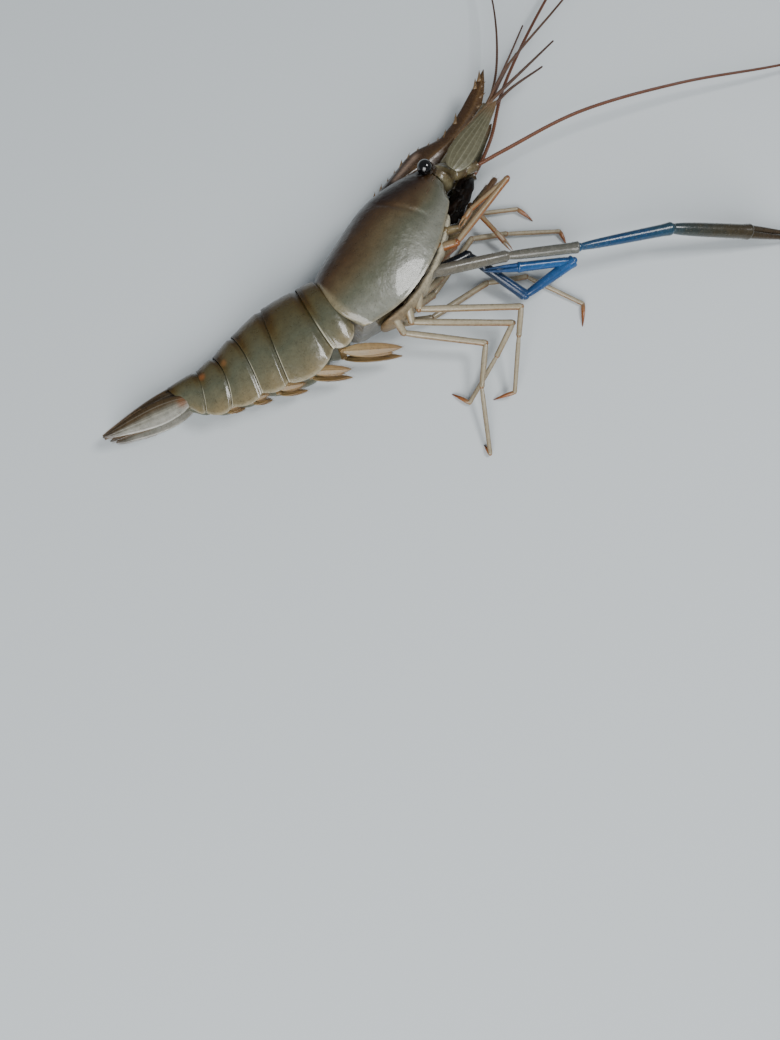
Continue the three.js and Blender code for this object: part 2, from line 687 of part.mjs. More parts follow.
// Colours of the materials, by the kind of surface.
const FINISHES = {
  shell_brown: { color: "#5a4a34", roughness: 0.3 },
  shell_grey: { color: "#7c7a62", roughness: 0.3 },
  shell_pale: { color: "#a8a184", roughness: 0.35 },
  claw_blue: { color: "#2a5a8c", roughness: 0.28 },
  claw_navy: { color: "#243a55", roughness: 0.28 },
  limb: { color: "#9c8d72", roughness: 0.35 },
  feeler: { color: "#8a4a2c", roughness: 0.4 },
  eye: { color: "#0b0a0a", roughness: 0.1 },
};

const prawn = new THREE.Group();
prawn.name = "giant_river_prawn";

function place(name, finish, solid) {
  const whole = largest(solid.intersect(room));
  const mesh = whole.getMesh();
  const geometry = new THREE.BufferGeometry();
  geometry.setAttribute("position", new THREE.BufferAttribute(new Float32Array(mesh.vertProperties), 3));
  geometry.setIndex(new THREE.BufferAttribute(new Uint32Array(mesh.triVerts), 1));
  const node = new THREE.Mesh(geometry, new THREE.MeshStandardMaterial(FINISHES[finish]));
  node.name = name;
  prawn.add(node);
  return whole;
}

const carapaceGrown = carapaceSolid(GAP);
const chestGrown = chestSolid(GAP);
const faceGrown = faceSolid(GAP);
const shellCuts = [];
for (const [name, side] of Object.entries(SIDES)) {
  const word = name === "R" ? "right" : "left";
  place(`eye_${word}`, "eye", eyeSolid(side));
  place(`eyestalk_${word}`, "shell_brown", without(stalkSolid(side), [eyeSolid(side, GAP), faceGrown]));
  shellCuts.push(eyeSolid(side, 2 * GAP), stalkSolid(side, GAP));
}

const shield = union([carapaceSolid(), ...cheekSpines(1), ...cheekSpines(-1)]);
place("carapace", "shell_brown", without(shield, shellCuts));
place("chest_underside", "shell_pale", without(chestSolid(), [carapaceGrown]));
place("head_front", "shell_brown", without(faceSolid(), [carapaceGrown]));
place("mouthparts", "shell_brown", without(mouthSolid(), [carapaceGrown, chestGrown, faceGrown]));
place("rostrum", "shell_brown", without(rostrumSolid(), [carapaceGrown, faceGrown]));

for (const [name, side] of Object.entries(SIDES)) {
  const word = name === "R" ? "right" : "left";
  const base = without(antennaBase(side), [faceGrown, mouthSolid(GAP), stalkSolid(side, GAP)]);
  const baseGrown = antennaBase(side, GAP);
  place(`antenna_base_${word}`, "shell_brown", base);
  place(`antenna_scale_${word}`, "shell_grey", without(scaleSolid(side), [baseGrown, faceGrown]));
  place(`antenna_${word}`, "feeler", without(antennaLash(side, ANTENNA[word]), [baseGrown]));
  const antennule = without(antennuleSolid(side, LASHES[word]), [faceGrown, scaleSolid(side, GAP)]);
  place(`antennule_${word}`, "feeler", antennule);
}

const chestCuts = [carapaceGrown, chestGrown];
for (const [name, limb] of Object.entries(LEGS)) {
  place(name, "limb", without(legSolid(limb), chestCuts));
}
for (const [word, claw] of Object.entries(CLAWS)) {
  const plain = clawPieces(claw);
  const grown = clawPieces(claw, GAP);
  place(`claw_${word}_arm`, word === "left" ? "claw_navy" : "limb", without(plain.arm, chestCuts));
  place(`claw_${word}_wrist`, "claw_blue", without(plain.wrist, [grown.arm]));
  place(`claw_${word}_palm`, "claw_blue", without(plain.palm, [grown.wrist, grown.finger]));
  place(`claw_${word}_finger`, "claw_navy", plain.finger);
}

for (let number = 1; number <= 6; number += 1) {
  const cuts = number === 1 ? [carapaceSolid(2 * GAP)] : [];
  place(`abdomen_${number}`, "shell_grey", without(somiteSolid(number), cuts));
}
const somitesGrown = [1, 2, 3, 4, 5, 6].map((number) => somiteSolid(number, GAP));
for (let number = 1; number <= 5; number += 1) {
  for (const [name, side] of Object.entries(SIDES)) {
    const word = name === "R" ? "right" : "left";
    place(`swimming_leg_${number}_${word}`, "shell_pale", without(paddleSolid(number, side), somitesGrown));
  }
}
place("telson", "shell_brown", without(tailSolid("telson"), [somitesGrown[5]]));
for (const name of ["inner_right", "outer_right", "inner_left", "outer_left"]) {
  place(`tail_plate_${name}`, "shell_grey", without(tailSolid(name), [somitesGrown[5]]));
}

export default prawn;
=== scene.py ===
"""A giant river prawn, life size, lying on its left side: shells, limbs and feelers over the solids."""
import logging
import math
from dataclasses import dataclass, field
from enum import Enum
from typing import Iterable, Sequence

import bpy
import numpy as np
from mathutils import Matrix, Vector


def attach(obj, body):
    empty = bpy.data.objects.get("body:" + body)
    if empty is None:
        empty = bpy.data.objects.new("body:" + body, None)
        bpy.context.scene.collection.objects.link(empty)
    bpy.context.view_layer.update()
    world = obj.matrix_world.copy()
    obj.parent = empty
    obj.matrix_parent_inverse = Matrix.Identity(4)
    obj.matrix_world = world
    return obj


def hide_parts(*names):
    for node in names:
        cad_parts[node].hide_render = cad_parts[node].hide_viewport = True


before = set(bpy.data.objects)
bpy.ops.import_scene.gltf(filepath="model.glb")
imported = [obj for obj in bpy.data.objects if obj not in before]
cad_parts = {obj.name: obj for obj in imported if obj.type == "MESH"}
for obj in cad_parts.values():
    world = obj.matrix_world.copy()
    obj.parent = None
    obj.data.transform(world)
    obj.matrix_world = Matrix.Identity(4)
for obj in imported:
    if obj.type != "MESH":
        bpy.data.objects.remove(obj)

LOG = logging.getLogger("prawn")
MM = 0.001
ROOT = "root"
# The point attribute that the paints read: share of the rim's colour, place across the piece, and tone.
MARKS = "anatomy"
Rows = Sequence[tuple[float, float]]
Spot = tuple[float, float, float]


class Side(Enum):
    """A side of the animal, with its sign along the animal's width."""

    RIGHT = 1
    LEFT = -1

    @property
    def word(self) -> str:
        """The side's name as the nodes spell it."""
        return self.name.lower()


def linear(code: str) -> tuple[float, float, float, float]:
    """Turns an sRGB hex colour into linear light.

    Args:
        code: a colour such as "#a1b2c3".

    Returns:
        Red, green, blue and alpha.
    """
    parts = [int(code[i:i + 2], 16) / 255 for i in (1, 3, 5)]
    return (*(p / 12.92 if p <= 0.04045 else ((p + 0.055) / 1.055) ** 2.4 for p in parts), 1.0)


def unit(vector: np.ndarray) -> np.ndarray:
    """Scales a vector, or each row of a table of vectors, to length one."""
    return vector / np.linalg.norm(vector, axis=-1, keepdims=True)


def smooth(rows: Rows | np.ndarray, place: np.ndarray | float, overshoot: bool = False) -> np.ndarray:
    """Reads a smooth curve through a short table.

    Args:
        rows: pairs of place and value, in order.
        place: where the curve is read.
        overshoot: whether the curve may swing past its highest and lowest values.

    Returns:
        The values at those places.
    """
    x, y = np.array(rows, float).T
    slope = np.diff(y) / np.diff(x)
    tangent = np.concatenate([[slope[0]], (slope[1:] + slope[:-1]) / 2, [slope[-1]]])
    if not overshoot:
        tangent[1:-1][slope[1:] * slope[:-1] <= 0] = 0
    p = np.clip(place, x[0], x[-1])
    i = np.clip(np.searchsorted(x, p, side="right") - 1, 0, len(x) - 2)
    span = x[i + 1] - x[i]
    t = (p - x[i]) / span
    return (
        (2 * t**3 - 3 * t**2 + 1) * y[i]
        + (t**3 - 2 * t**2 + t) * span * tangent[i]
        + (3 * t**2 - 2 * t**3) * y[i + 1]
        + (t**3 - t**2) * span * tangent[i + 1]
    )


def bump(place: np.ndarray, centre: float, width: float) -> np.ndarray:
    """A soft hill of height one round a centre."""
    return np.exp(-(((place - centre) / width) ** 2))


def ease(place: np.ndarray, low: float, high: float) -> np.ndarray:
    """A soft step from zero at low to one at high."""
    t = np.clip((place - low) / (high - low), 0, 1)
    return t * t * (3 - 2 * t)


def around(count: int) -> np.ndarray:
    """The angles of a number of points round a ring."""
    return np.linspace(0, 2 * math.pi, count, endpoint=False)


def marked(rim: np.ndarray | float, width: np.ndarray | float, tone: np.ndarray | float) -> np.ndarray:
    """Puts together the marks that the paints read.

    Args:
        rim: share of the rim's colour at each point.
        width: place across the piece, which the ribs follow.
        tone: place in the finish's colours.

    Returns:
        Three marks for each point.
    """
    return np.stack(np.broadcast_arrays(rim, width, tone), axis=-1)


def across(line: np.ndarray, hint: Sequence[float] = (0, 0, 1)) -> tuple[np.ndarray, np.ndarray]:
    """Finds two directions across a line, the second as near to a hint as it can be.

    Args:
        line: a direction, or a table of directions.
        hint: the direction that the second result leans to.

    Returns:
        A sideways and an upward direction, each of length one.
    """
    side = np.cross(line, np.array(hint, float))
    weak = np.linalg.norm(side, axis=-1, keepdims=True) < 1e-6
    side = unit(np.where(weak, np.cross(line, np.array([0, 1.0, 0])), side))
    return side, unit(np.cross(side, line))


@dataclass(frozen=True)
class HeadLines:
    """The line of the head and carapace: u runs forward, v to the back, w to the right side."""

    x: float = -17.5
    y: float = -3.0
    z: float = 12.2
    pitch: float = math.radians(12.8)

    def at(self, u: np.ndarray | float, v: np.ndarray | float, w: np.ndarray | float) -> np.ndarray:
        """Gives the place of a spot on the head.

        Args:
            u: millimetres forward along the head's line.
            v: millimetres towards the back.
            w: millimetres towards the right side.

        Returns:
            The place, in millimetres of the frame.
        """
        u, v, w = np.broadcast_arrays(np.asarray(u, float), v, w)
        c, s = math.cos(self.pitch), math.sin(self.pitch)
        return np.stack([self.x + u * c - v * s, self.y + u * s + v * c, self.z + w], axis=-1)

    @property
    def back(self) -> np.ndarray:
        """The direction of the animal's back at the head."""
        return self.at(0, 1, 0) - self.at(0, 0, 0)


HEAD = HeadLines()


class Skin:
    """Collects closed surfaces, with a mark on each point for the paint, and makes them one mesh piece."""

    def __init__(self) -> None:
        """Starts with no surface."""
        self.points: list[np.ndarray] = []
        self.marks: list[np.ndarray] = []
        self.faces: list[tuple[int, ...]] = []
        self.count = 0

    def loft(self, rings: np.ndarray, marks: np.ndarray) -> None:
        """Adds a skin over rings of points, closed at both ends.

        Args:
            rings: points in millimetres, as rings by points by three.
            marks: three numbers for the paint at each point, in the same layout.
        """
        rows, sides = rings.shape[:2]
        start = self.count
        index = start + np.arange(rows * sides).reshape(rows, sides)
        a, b = index[:-1], np.roll(index, -1, axis=1)[:-1]
        c, d = np.roll(index, -1, axis=1)[1:], index[1:]
        quads = np.stack([a, b, c, d], axis=-1).reshape(-1, 4).tolist()
        hubs = np.stack([rings[0].mean(axis=0), rings[-1].mean(axis=0)])
        first, last = start + rows * sides, start + rows * sides + 1
        ends = [(int(index[0, (i + 1) % sides]), int(index[0, i]), first) for i in range(sides)]
        ends += [(int(index[-1, i]), int(index[-1, (i + 1) % sides]), last) for i in range(sides)]
        points = np.concatenate([rings.reshape(-1, 3), hubs])
        tri = ends + [(q[0], q[1], q[2]) for q in quads] + [(q[0], q[2], q[3]) for q in quads]
        corner = points[np.array(tri) - start]
        turned = np.einsum("ij,ij->i", corner[:, 0], np.cross(corner[:, 1], corner[:, 2])).sum() < 0
        faces = [tuple(f) for f in quads] + ends
        self.faces += [f[::-1] for f in faces] if turned else faces
        self.points.append(points)
        self.marks.append(np.concatenate([marks.reshape(-1, 3), marks[0, :1], marks[-1, :1]]))
        self.count += len(points)

    def finish(
        self, name: str, paint: bpy.types.Material, slot: str, nodes: Iterable[str] = (),
    ) -> bpy.types.Object:
        """Makes the piece, paints it and hands it to the frame.

        Args:
            name: the piece's name.
            paint: its material.
            slot: a material slot's name, which is handed on to dress.
            nodes: the nodes that it stands for.

        Returns:
            The new object.
        """
        mesh = bpy.data.meshes.new(name)
        mesh.from_pydata((np.concatenate(self.points) * MM).tolist(), [], self.faces)
        marks = mesh.attributes.new(MARKS, "FLOAT_VECTOR", "POINT")
        marks.data.foreach_set("vector", np.concatenate(self.marks).astype(np.float32).ravel())
        return dress(mesh, name, paint, slot, nodes)


def dress(
    mesh: bpy.types.Mesh, name: str, paint: bpy.types.Material, slot: str, nodes: Iterable[str] = ()
) -> bpy.types.Object:
    """Puts a finished mesh into the scene as a piece of the prawn.

    Args:
        mesh: the mesh, with its place in its points.
        name: the piece's name.
        paint: its material.
        slot: a material slot's name; it is not used.
        nodes: the nodes that it stands for.

    Returns:
        The new object.
    """
    # No point may lie under the floor, which is at height 0.
    spots = np.empty(len(mesh.vertices) * 3)
    mesh.vertices.foreach_get("co", spots)
    spots[2::3] = np.maximum(spots[2::3], 0)
    mesh.vertices.foreach_set("co", spots)
    mesh.materials.clear()
    mesh.materials.append(paint)
    mesh.shade_smooth()
    mesh.validate()
    piece = bpy.data.objects.new(name, mesh)
    bpy.context.scene.collection.objects.link(piece)
    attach(piece, ROOT)
    nodes = list(nodes)
    if nodes:
        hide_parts(*nodes)
    LOG.info("%s: %d faces, for %s", name, len(mesh.polygons), ", ".join(nodes) or "no node")
    return piece


def add(
    tree: bpy.types.NodeTree, kind: str, inputs: dict | None = None, stops: Sequence[tuple[float, str]] = (),
    **settings: object,
) -> bpy.types.Node:
    """Adds one node with its settings and links.

    Args:
        tree: the tree that gets it.
        kind: the node's type.
        inputs: values or sockets for its inputs, by name or number.
        stops: places and colours of a colour ramp.
        settings: properties of the node.

    Returns:
        The node.
    """
    made = tree.nodes.new(kind)
    for name, value in settings.items():
        setattr(made, name, value)
    for key, value in (inputs or {}).items():
        if isinstance(value, bpy.types.NodeSocket):
            tree.links.new(value, made.inputs[key])
        else:
            made.inputs[key].default_value = value
    if stops:
        ramp = made.color_ramp.elements
        while len(ramp) < len(stops):
            ramp.new(0.5)
        for element, (place, code) in zip(ramp, stops):
            element.position = place
            element.color = linear(code)
    return made


# How strongly chitin and the water on it bend light.
CHITIN_IOR = 1.45
WATER_IOR = 1.33
# Light goes furthest through the skin in red, then green, then blue, up to this many millimetres.
BLEED = (1.0, 0.7, 0.45)
BLEED_REACH = 2.0
# Most of a noise's values lie between these, and the dots of pigment show from the second pair on.
NOISE_LOW, NOISE_HIGH = 0.3, 0.7
DOT_START, DOT_FULL = 0.58, 0.72
# A rib's pale crest shows from this height of its wave on.
CREST = 0.72
# Tones between which the film of water grows from a dry back to a wet side.
DRY_TONE, WET_TONE = 0.1, 0.75
# How strongly a round spot covers the colour under it, and the share of its reach that is covered evenly.
SPOT_SHARE = 0.75
SPOT_CORE = 0.1
RELIEF_STRENGTH = 0.6
# Numbers of a colour mix's inputs and of its output, because their names are used twice in the node.
FACTOR, FIRST, SECOND = 0, 6, 7
MIXED = 2


@dataclass(frozen=True)
class Finish:
    """A wet crustacean surface: colours along the tone mark, mottling, specks and a glossy film of water.

    Attributes:
        name: the material's name.
        tones: colours along the tone mark, from 0 to 1.
        rim: the colour where the rim mark is 1.
        waver: how far soft noise shifts the tone.
        waver_size: grain of that noise, in millimetres like every size here.
        mottle: how much the colour's brightness varies.
        mottle_size: grain of the mottling.
        speck: colour of the fine dots of pigment.
        speck_share: how strongly the dots show.
        speck_size: grain of the dots.
        spots: round spots, each with its place, its reach and its colour.
        rough: roughness of the chitin under the water.
        specular: how strongly it mirrors; 0.5 is plain chitin.
        coat: share of the film of water.
        dry_back: share of that film that is missing on dark tones, which lie on the back.
        coat_rough: roughness of the film.
        under: share of the light that goes through the skin.
        relief: height of the uneven surface.
        relief_size: grain of the uneven surface.
        ribs: angle that the wave of the ribs runs through across the piece, or 0 for no ribs.
        rib: colour of a rib's crest.
        rib_share: how strongly the crests show.
    """

    name: str
    tones: Sequence[tuple[float, str]]
    rim: str = "#c4bfa8"
    waver: float = 0.16
    waver_size: float = 7.0
    mottle: float = 0.22
    mottle_size: float = 2.2
    speck: str = "#33261a"
    speck_share: float = 0.35
    speck_size: float = 0.45
    spots: Sequence[tuple[Spot, float, str]] = ()
    rough: float = 0.3
    specular: float = 0.5
    coat: float = 0.6
    dry_back: float = 0.0
    coat_rough: float = 0.1
    under: float = 0.06
    relief: float = 0.05
    relief_size: float = 0.7
    ribs: float = 0.0
    rib: str = "#b9b6a6"
    rib_share: float = 0.3

    def paint(self) -> bpy.types.Material:
        """Builds the material, which has the finish's name.

        Returns:
            The material.
        """
        material = bpy.data.materials.new(self.name)
        material.use_nodes = True
        tree = material.node_tree
        tree.nodes.clear()
        place = add(tree, "ShaderNodeTexCoord").outputs["Object"]
        marks = add(tree, "ShaderNodeAttribute", attribute_name=MARKS).outputs["Vector"]
        rim, width, tone = add(tree, "ShaderNodeSeparateXYZ", {0: marks}).outputs
        blotch = add(tree, "ShaderNodeTexNoise", {
            "Vector": place, "Scale": 1 / (self.mottle_size * MM), "Detail": 5.0, "Roughness": 0.62,
        }).outputs["Fac"]
        colour = self.colours(tree, place, rim, tone, blotch)
        height = add(tree, "ShaderNodeTexNoise", {
            "Vector": place, "Scale": 1 / (self.relief_size * MM), "Detail": 3.0, "Roughness": 0.6,
        }).outputs["Fac"]
        if self.ribs:
            colour, height = self.ribbed(tree, width, colour, height)
        gloss = add(tree, "ShaderNodeMapRange", {
            0: blotch, 1: NOISE_LOW, 2: NOISE_HIGH, 3: self.rough * 0.8, 4: self.rough * 1.25,
        }).outputs[0]
        film = add(tree, "ShaderNodeMapRange", {
            0: tone, 1: DRY_TONE, 2: WET_TONE, 3: self.coat * (1 - self.dry_back), 4: self.coat,
        }).outputs[0]
        normal = add(tree, "ShaderNodeBump", {
            "Strength": RELIEF_STRENGTH, "Distance": self.relief * MM, "Height": height,
        }).outputs[0]
        shader = add(tree, "ShaderNodeBsdfPrincipled", {
            "Base Color": colour, "Roughness": gloss, "Normal": normal,
            "IOR": CHITIN_IOR, "Specular IOR Level": self.specular,
            "Coat Weight": film, "Coat Roughness": self.coat_rough, "Coat IOR": WATER_IOR,
            "Subsurface Weight": self.under, "Subsurface Radius": BLEED, "Subsurface Scale": BLEED_REACH * MM,
        })
        add(tree, "ShaderNodeOutputMaterial", {"Surface": shader.outputs[0]})
        return material

    def colours(
        self, tree: bpy.types.NodeTree, place: bpy.types.NodeSocket, rim: bpy.types.NodeSocket,
        tone: bpy.types.NodeSocket, blotch: bpy.types.NodeSocket,
    ) -> bpy.types.NodeSocket:
        """Adds the nodes for tone, rim, mottling, dots of pigment and round spots.

        Args:
            tree: the material's tree.
            place: the place on the piece.
            rim: the rim mark.
            tone: the tone mark.
            blotch: the noise of the mottling.

        Returns:
            The colour.
        """
        drift = add(tree, "ShaderNodeTexNoise", {
            "Vector": place, "Scale": 1 / (self.waver_size * MM), "Detail": 3.0, "Roughness": 0.55,
        }).outputs["Fac"]
        shift = add(tree, "ShaderNodeMath", {0: drift, 1: 0.5}, operation="SUBTRACT").outputs[0]
        tone = add(tree, "ShaderNodeMath", {
            0: shift, 1: self.waver, 2: tone,
        }, operation="MULTIPLY_ADD").outputs[0]
        colour = add(tree, "ShaderNodeValToRGB", {0: tone}, stops=self.tones).outputs["Color"]
        colour = add(
            tree, "ShaderNodeMix", {FACTOR: rim, FIRST: colour, SECOND: linear(self.rim)}, data_type="RGBA",
        ).outputs[MIXED]
        spread = add(tree, "ShaderNodeMapRange", {
            0: blotch, 1: NOISE_LOW, 2: NOISE_HIGH, 3: 1 - self.mottle, 4: 1 + self.mottle,
        }).outputs[0]
        colour = add(tree, "ShaderNodeVectorMath", {0: colour, "Scale": spread}, operation="SCALE").outputs[0]
        grain = add(tree, "ShaderNodeTexNoise", {
            "Vector": place, "Scale": 1 / (self.speck_size * MM), "Detail": 1.0,
        }).outputs["Fac"]
        dots = add(tree, "ShaderNodeMapRange", {
            0: grain, 1: DOT_START, 2: DOT_FULL, 3: 0.0, 4: self.speck_share,
        }).outputs[0]
        covers = [(dots, self.speck)]
        for spot, reach, code in self.spots:
            middle = tuple(value * MM for value in spot)
            far = add(
                tree, "ShaderNodeVectorMath", {0: place, 1: middle}, operation="DISTANCE",
            ).outputs["Value"]
            near = add(tree, "ShaderNodeMapRange", {
                0: far, 1: SPOT_CORE * reach * MM, 2: reach * MM, 3: SPOT_SHARE, 4: 0.0,
            }, interpolation_type="SMOOTHSTEP").outputs[0]
            covers.append((near, code))
        for share, code in covers:
            colour = add(
                tree, "ShaderNodeMix", {FACTOR: share, FIRST: colour, SECOND: linear(code)}, data_type="RGBA",
            ).outputs[MIXED]
        return colour

    def ribbed(
        self, tree: bpy.types.NodeTree, width: bpy.types.NodeSocket, colour: bpy.types.NodeSocket,
        height: bpy.types.NodeSocket,
    ) -> tuple[bpy.types.NodeSocket, bpy.types.NodeSocket]:
        """Adds the nodes for fine ribs along a thin plate.

        Args:
            tree: the material's tree.
            width: the mark for the place across the piece.
            colour: the colour without ribs.
            height: the uneven surface without ribs.

        Returns:
            The colour and the height with ribs.
        """
        wave = add(tree, "ShaderNodeMath", {0: width, 1: self.ribs}, operation="MULTIPLY").outputs[0]
        ridge = add(tree, "ShaderNodeMath", {0: wave}, operation="SINE").outputs[0]
        height = add(tree, "ShaderNodeMath", {
            0: ridge, 1: 0.5, 2: height,
        }, operation="MULTIPLY_ADD").outputs[0]
        line = add(tree, "ShaderNodeMapRange", {
            0: ridge, 1: CREST, 2: 1.0, 3: 0.0, 4: self.rib_share,
        }).outputs[0]
        colour = add(
            tree, "ShaderNodeMix", {FACTOR: line, FIRST: colour, SECOND: linear(self.rib)}, data_type="RGBA",
        ).outputs[MIXED]
        return colour, height


# Wet chitin over dark tissue: brown on the back, warm grey on the flank, pale green grey at the gill cover.
CARAPACE_SHELL = Finish(
    "wet_chitin_carapace",
    (
        (0.0, "#140a05"), (0.18, "#26160b"), (0.36, "#42301c"), (0.54, "#514630"), (0.74, "#515242"),
        (1.0, "#74756a"),
    ),
    rim="#7d745a", waver=0.2, waver_size=9, mottle=0.13, mottle_size=3.2, speck="#221811", speck_share=0.3,
    rough=0.32, coat=1.0, dry_back=0.85, coat_rough=0.06, relief=0.6, relief_size=4.2,
)
# Wet chitin of the abdomen's plates: olive brown on the back, grey green on the side, paler below.
ABDOMEN_SHELL = Finish(
    "wet_chitin_abdomen",
    (
        (0.0, "#2c1f0a"), (0.18, "#423211"), (0.36, "#494228"), (0.6, "#4b4d3c"), (0.8, "#5c5944"),
        (1.0, "#776a4c"),
    ),
    spots=(((-55.1, 5.3, 15.2), 1.6, "#74502c"), ((-62.6, 7.0, 13.0), 1.7, "#7f4d28")),
    waver=0.16, waver_size=6, mottle=0.13, mottle_size=2.4, speck="#221b10", speck_share=0.35,
    rough=0.3, coat=1.0, dry_back=0.8, coat_rough=0.06, relief=0.4, relief_size=3.2,
)
# The rostrum's thick chitin: nearly black at its root and brown on the blade, with a pale streak.
ROSTRUM_SHELL = Finish(
    "wet_chitin_rostrum",
    ((0.0, "#6f593c"), (0.3, "#553e22"), (0.6, "#3f2a14"), (1.0, "#22150b")), rim="#9a8473",
    mottle=0.16, mottle_size=2.0, speck="#1c120b", speck_share=0.3, rough=0.26,
)
# Thin chitin of the antennal scales, which lets light through: grey green with fine pale ribs.
THIN_SHELL = Finish(
    "thin_chitin_scale",
    ((0.0, "#5d5b47"), (0.4, "#514e3b"), (0.75, "#4b3f2c"), (1.0, "#3f2f16")), rim="#65492c",
    mottle=0.14, mottle_size=1.8, speck_share=0.3, rough=0.26, ribs=32.0, rib="#898872", rib_share=0.35,
    relief=0.06,
)
# Thin chitin of the tail plates: grey with white ribs below, brown towards the back, and one rusty spot.
TAIL_SHELL = Finish(
    "thin_chitin_tail_plate",
    ((0.0, "#8b8a81"), (0.3, "#706e62"), (0.55, "#443621"), (1.0, "#2d200c")), rim="#362b1c",
    spots=(((-72.0, 5.4, 11.0), 2.6, "#6f4422"),), mottle=0.22, mottle_size=1.8, speck_share=0.4, rough=0.28,
    ribs=26.0, rib="#959389", rib_share=0.24, relief=0.06,
)
# The telson's chitin: plain brown, darker towards its tip, with one orange spot near its root.
TELSON_SHELL = Finish(
    "wet_chitin_telson",
    ((0.0, "#5f4725"), (0.5, "#4c381c"), (1.0, "#33240f")), rim="#4a3d2a",
    spots=(((-74.0, 9.0, 9.0), 2.2, "#a5683a"),), mottle=0.2, mottle_size=1.8, rough=0.28,
)
# Leg chitin is thin and almost clear: pale beige with brown edges and darker joints.
LEG_SHELL = Finish(
    "clear_chitin_leg",
    ((0.0, "#a8a08c"), (0.35, "#90866f"), (0.55, "#7f694b"), (0.72, "#845027"), (1.0, "#5e3013")),
    waver=0.12, waver_size=3, mottle=0.12, mottle_size=1.2, speck_share=0.3, speck="#6a4a2e", speck_size=0.3,
    rough=0.28, under=0.15,
)
# The maxillipeds' chitin is as thin as the legs', but browner and more blotched.
MAXILLIPED_SHELL = Finish(
    "clear_chitin_maxilliped",
    ((0.0, "#7d7255"), (0.4, "#6a5a3c"), (0.7, "#5c432a"), (1.0, "#462b15")),
    waver=0.3, waver_size=3, mottle=0.2, mottle_size=1.2, speck_share=0.35, speck="#4a2f18", rough=0.3,
    under=0.1,
)
# The right claw's thick chitin: pale at the root, deep blue from the wrist on, brown on the fingers.
CLAW_SHELL = Finish(
    "blue_chitin_claw",
    (
        (0.0, "#605b50"), (0.2, "#56564f"), (0.3, "#24455f"), (0.42, "#10375a"), (0.5, "#1f3b48"),
        (0.56, "#2c3330"), (0.64, "#352f20"), (1.0, "#37281a"),
    ),
    waver=0.1, waver_size=4, mottle=0.16, mottle_size=1.4, speck_share=0.3, speck="#142435", speck_size=0.4,
    rough=0.26, relief=0.08,
)
# The left claw's thick chitin: a deep, clear blue on the palm, darkening to near black at the root, which is
# painted shade where the arm lies under the body.
DEEP_BLUE_CLAW_AND_SHADE = Finish(
    "deep_blue_chitin_claw",
    ((0.0, "#0b0d13"), (0.4, "#0e1520"), (0.55, "#10243b"), (0.75, "#173d68"), (1.0, "#22568c")),
    waver=0.14, waver_size=4, mottle=0.18, mottle_size=1.4, speck_share=0.25, speck="#0d1a30", speck_size=0.4,
    rough=0.24, relief=0.08,
)
# Soft skin of the mouthparts, painted nearly black and dull: painted shade for the dark gap between the
# shells.
MOUTH_SHADE = Finish(
    "mouthparts_painted_shade",
    ((0.0, "#040302"), (0.5, "#080402"), (1.0, "#160c06")), waver=0.4, waver_size=2.5, mottle=0.3, rough=0.4,
    coat=0.0, specular=0.1, relief=0.08, relief_size=1.4,
)
# Soft skin of the chest between the legs: tan, blotched and uneven.
CHEST_SKIN = Finish(
    "soft_skin_chest",
    ((0.0, "#6b5433"), (0.5, "#7a6442"), (1.0, "#46341c")), waver=0.5, waver_size=2.0, mottle=0.35,
    mottle_size=1.3, rough=0.5, coat=0.15, relief=0.3, relief_size=1.2,
)
# Thin chitin of the swimming legs: yellow brown with fine ribs, and duller than the shells.
SWIM_SHELL = Finish(
    "thin_chitin_swimming_leg",
    ((0.0, "#8c7a57"), (0.4, "#806843"), (0.75, "#654b2c"), (1.0, "#3a2a1b")),
    waver=0.2, waver_size=3, mottle=0.2, mottle_size=1.5, rough=0.42, coat=0.2, under=0.1, ribs=20.0,
    rib="#997e4b", relief=0.06,
)
# The long antennae's ringed chitin: red brown and half dry.
FEELER_SHELL = Finish(
    "ringed_chitin_feeler",
    ((0.0, "#683e26"), (0.3, "#57301b"), (1.0, "#472818")), mottle=0.15, mottle_size=2.5, rough=0.38,
    coat=0.3,
)
# The antennules' ringed chitin: darker and less red.
DARK_FEELER_SHELL = Finish(
    "ringed_chitin_dark_feeler",
    ((0.0, "#6a4c2c"), (0.3, "#4a2f1e"), (1.0, "#3a2318")), mottle=0.15, mottle_size=2.5, rough=0.38,
    coat=0.3,
)
# The cornea: smooth, black and wet, with the faint net of its facets.
CORNEA = Finish(
    "black_wet_cornea",
    ((0.0, "#050506"), (0.6, "#0a090b"), (1.0, "#21160f")), mottle=0.1, speck_share=0.0, rough=0.12, coat=1.0,
    coat_rough=0.03, under=0.0, relief=0.01, relief_size=0.15,
)
# The eyestalks' chitin: brown, and darker towards the eye.
STALK_SHELL = Finish(
    "wet_chitin_eyestalk",
    ((0.0, "#4f3d26"), (0.5, "#35271a"), (1.0, "#1c130d")), mottle=0.2, mottle_size=1.2, rough=0.28,
)
# Chitin of the head's front and the feelers' stems: wet grey green.
STEM_SHELL = Finish(
    "wet_chitin_feeler_stem",
    ((0.0, "#77735a"), (0.5, "#5f563e"), (1.0, "#40311d")), waver=0.4, waver_size=3, mottle=0.3,
    mottle_size=1.4, rough=0.25, coat=0.9, relief=0.3, relief_size=1.3,
)
# Setae are fine stiff hairs of chitin: brown and nearly dry.
SETA_SHELL = Finish(
    "stiff_seta",
    ((0.0, "#7d6140"), (1.0, "#5f4428")), mottle=0.2, rough=0.45, coat=0.1, speck_share=0.0,
)

# How full the upper half of a body's wall is, and how far and how roundly its lower half draws in.
WALL_FULL = 2.3
WALL_DRAW, WALL_ROUND = 0.26, 1.7
# The height on the left wall, which lies on the floor, from which it folds in.
FOLD_START = 0.6


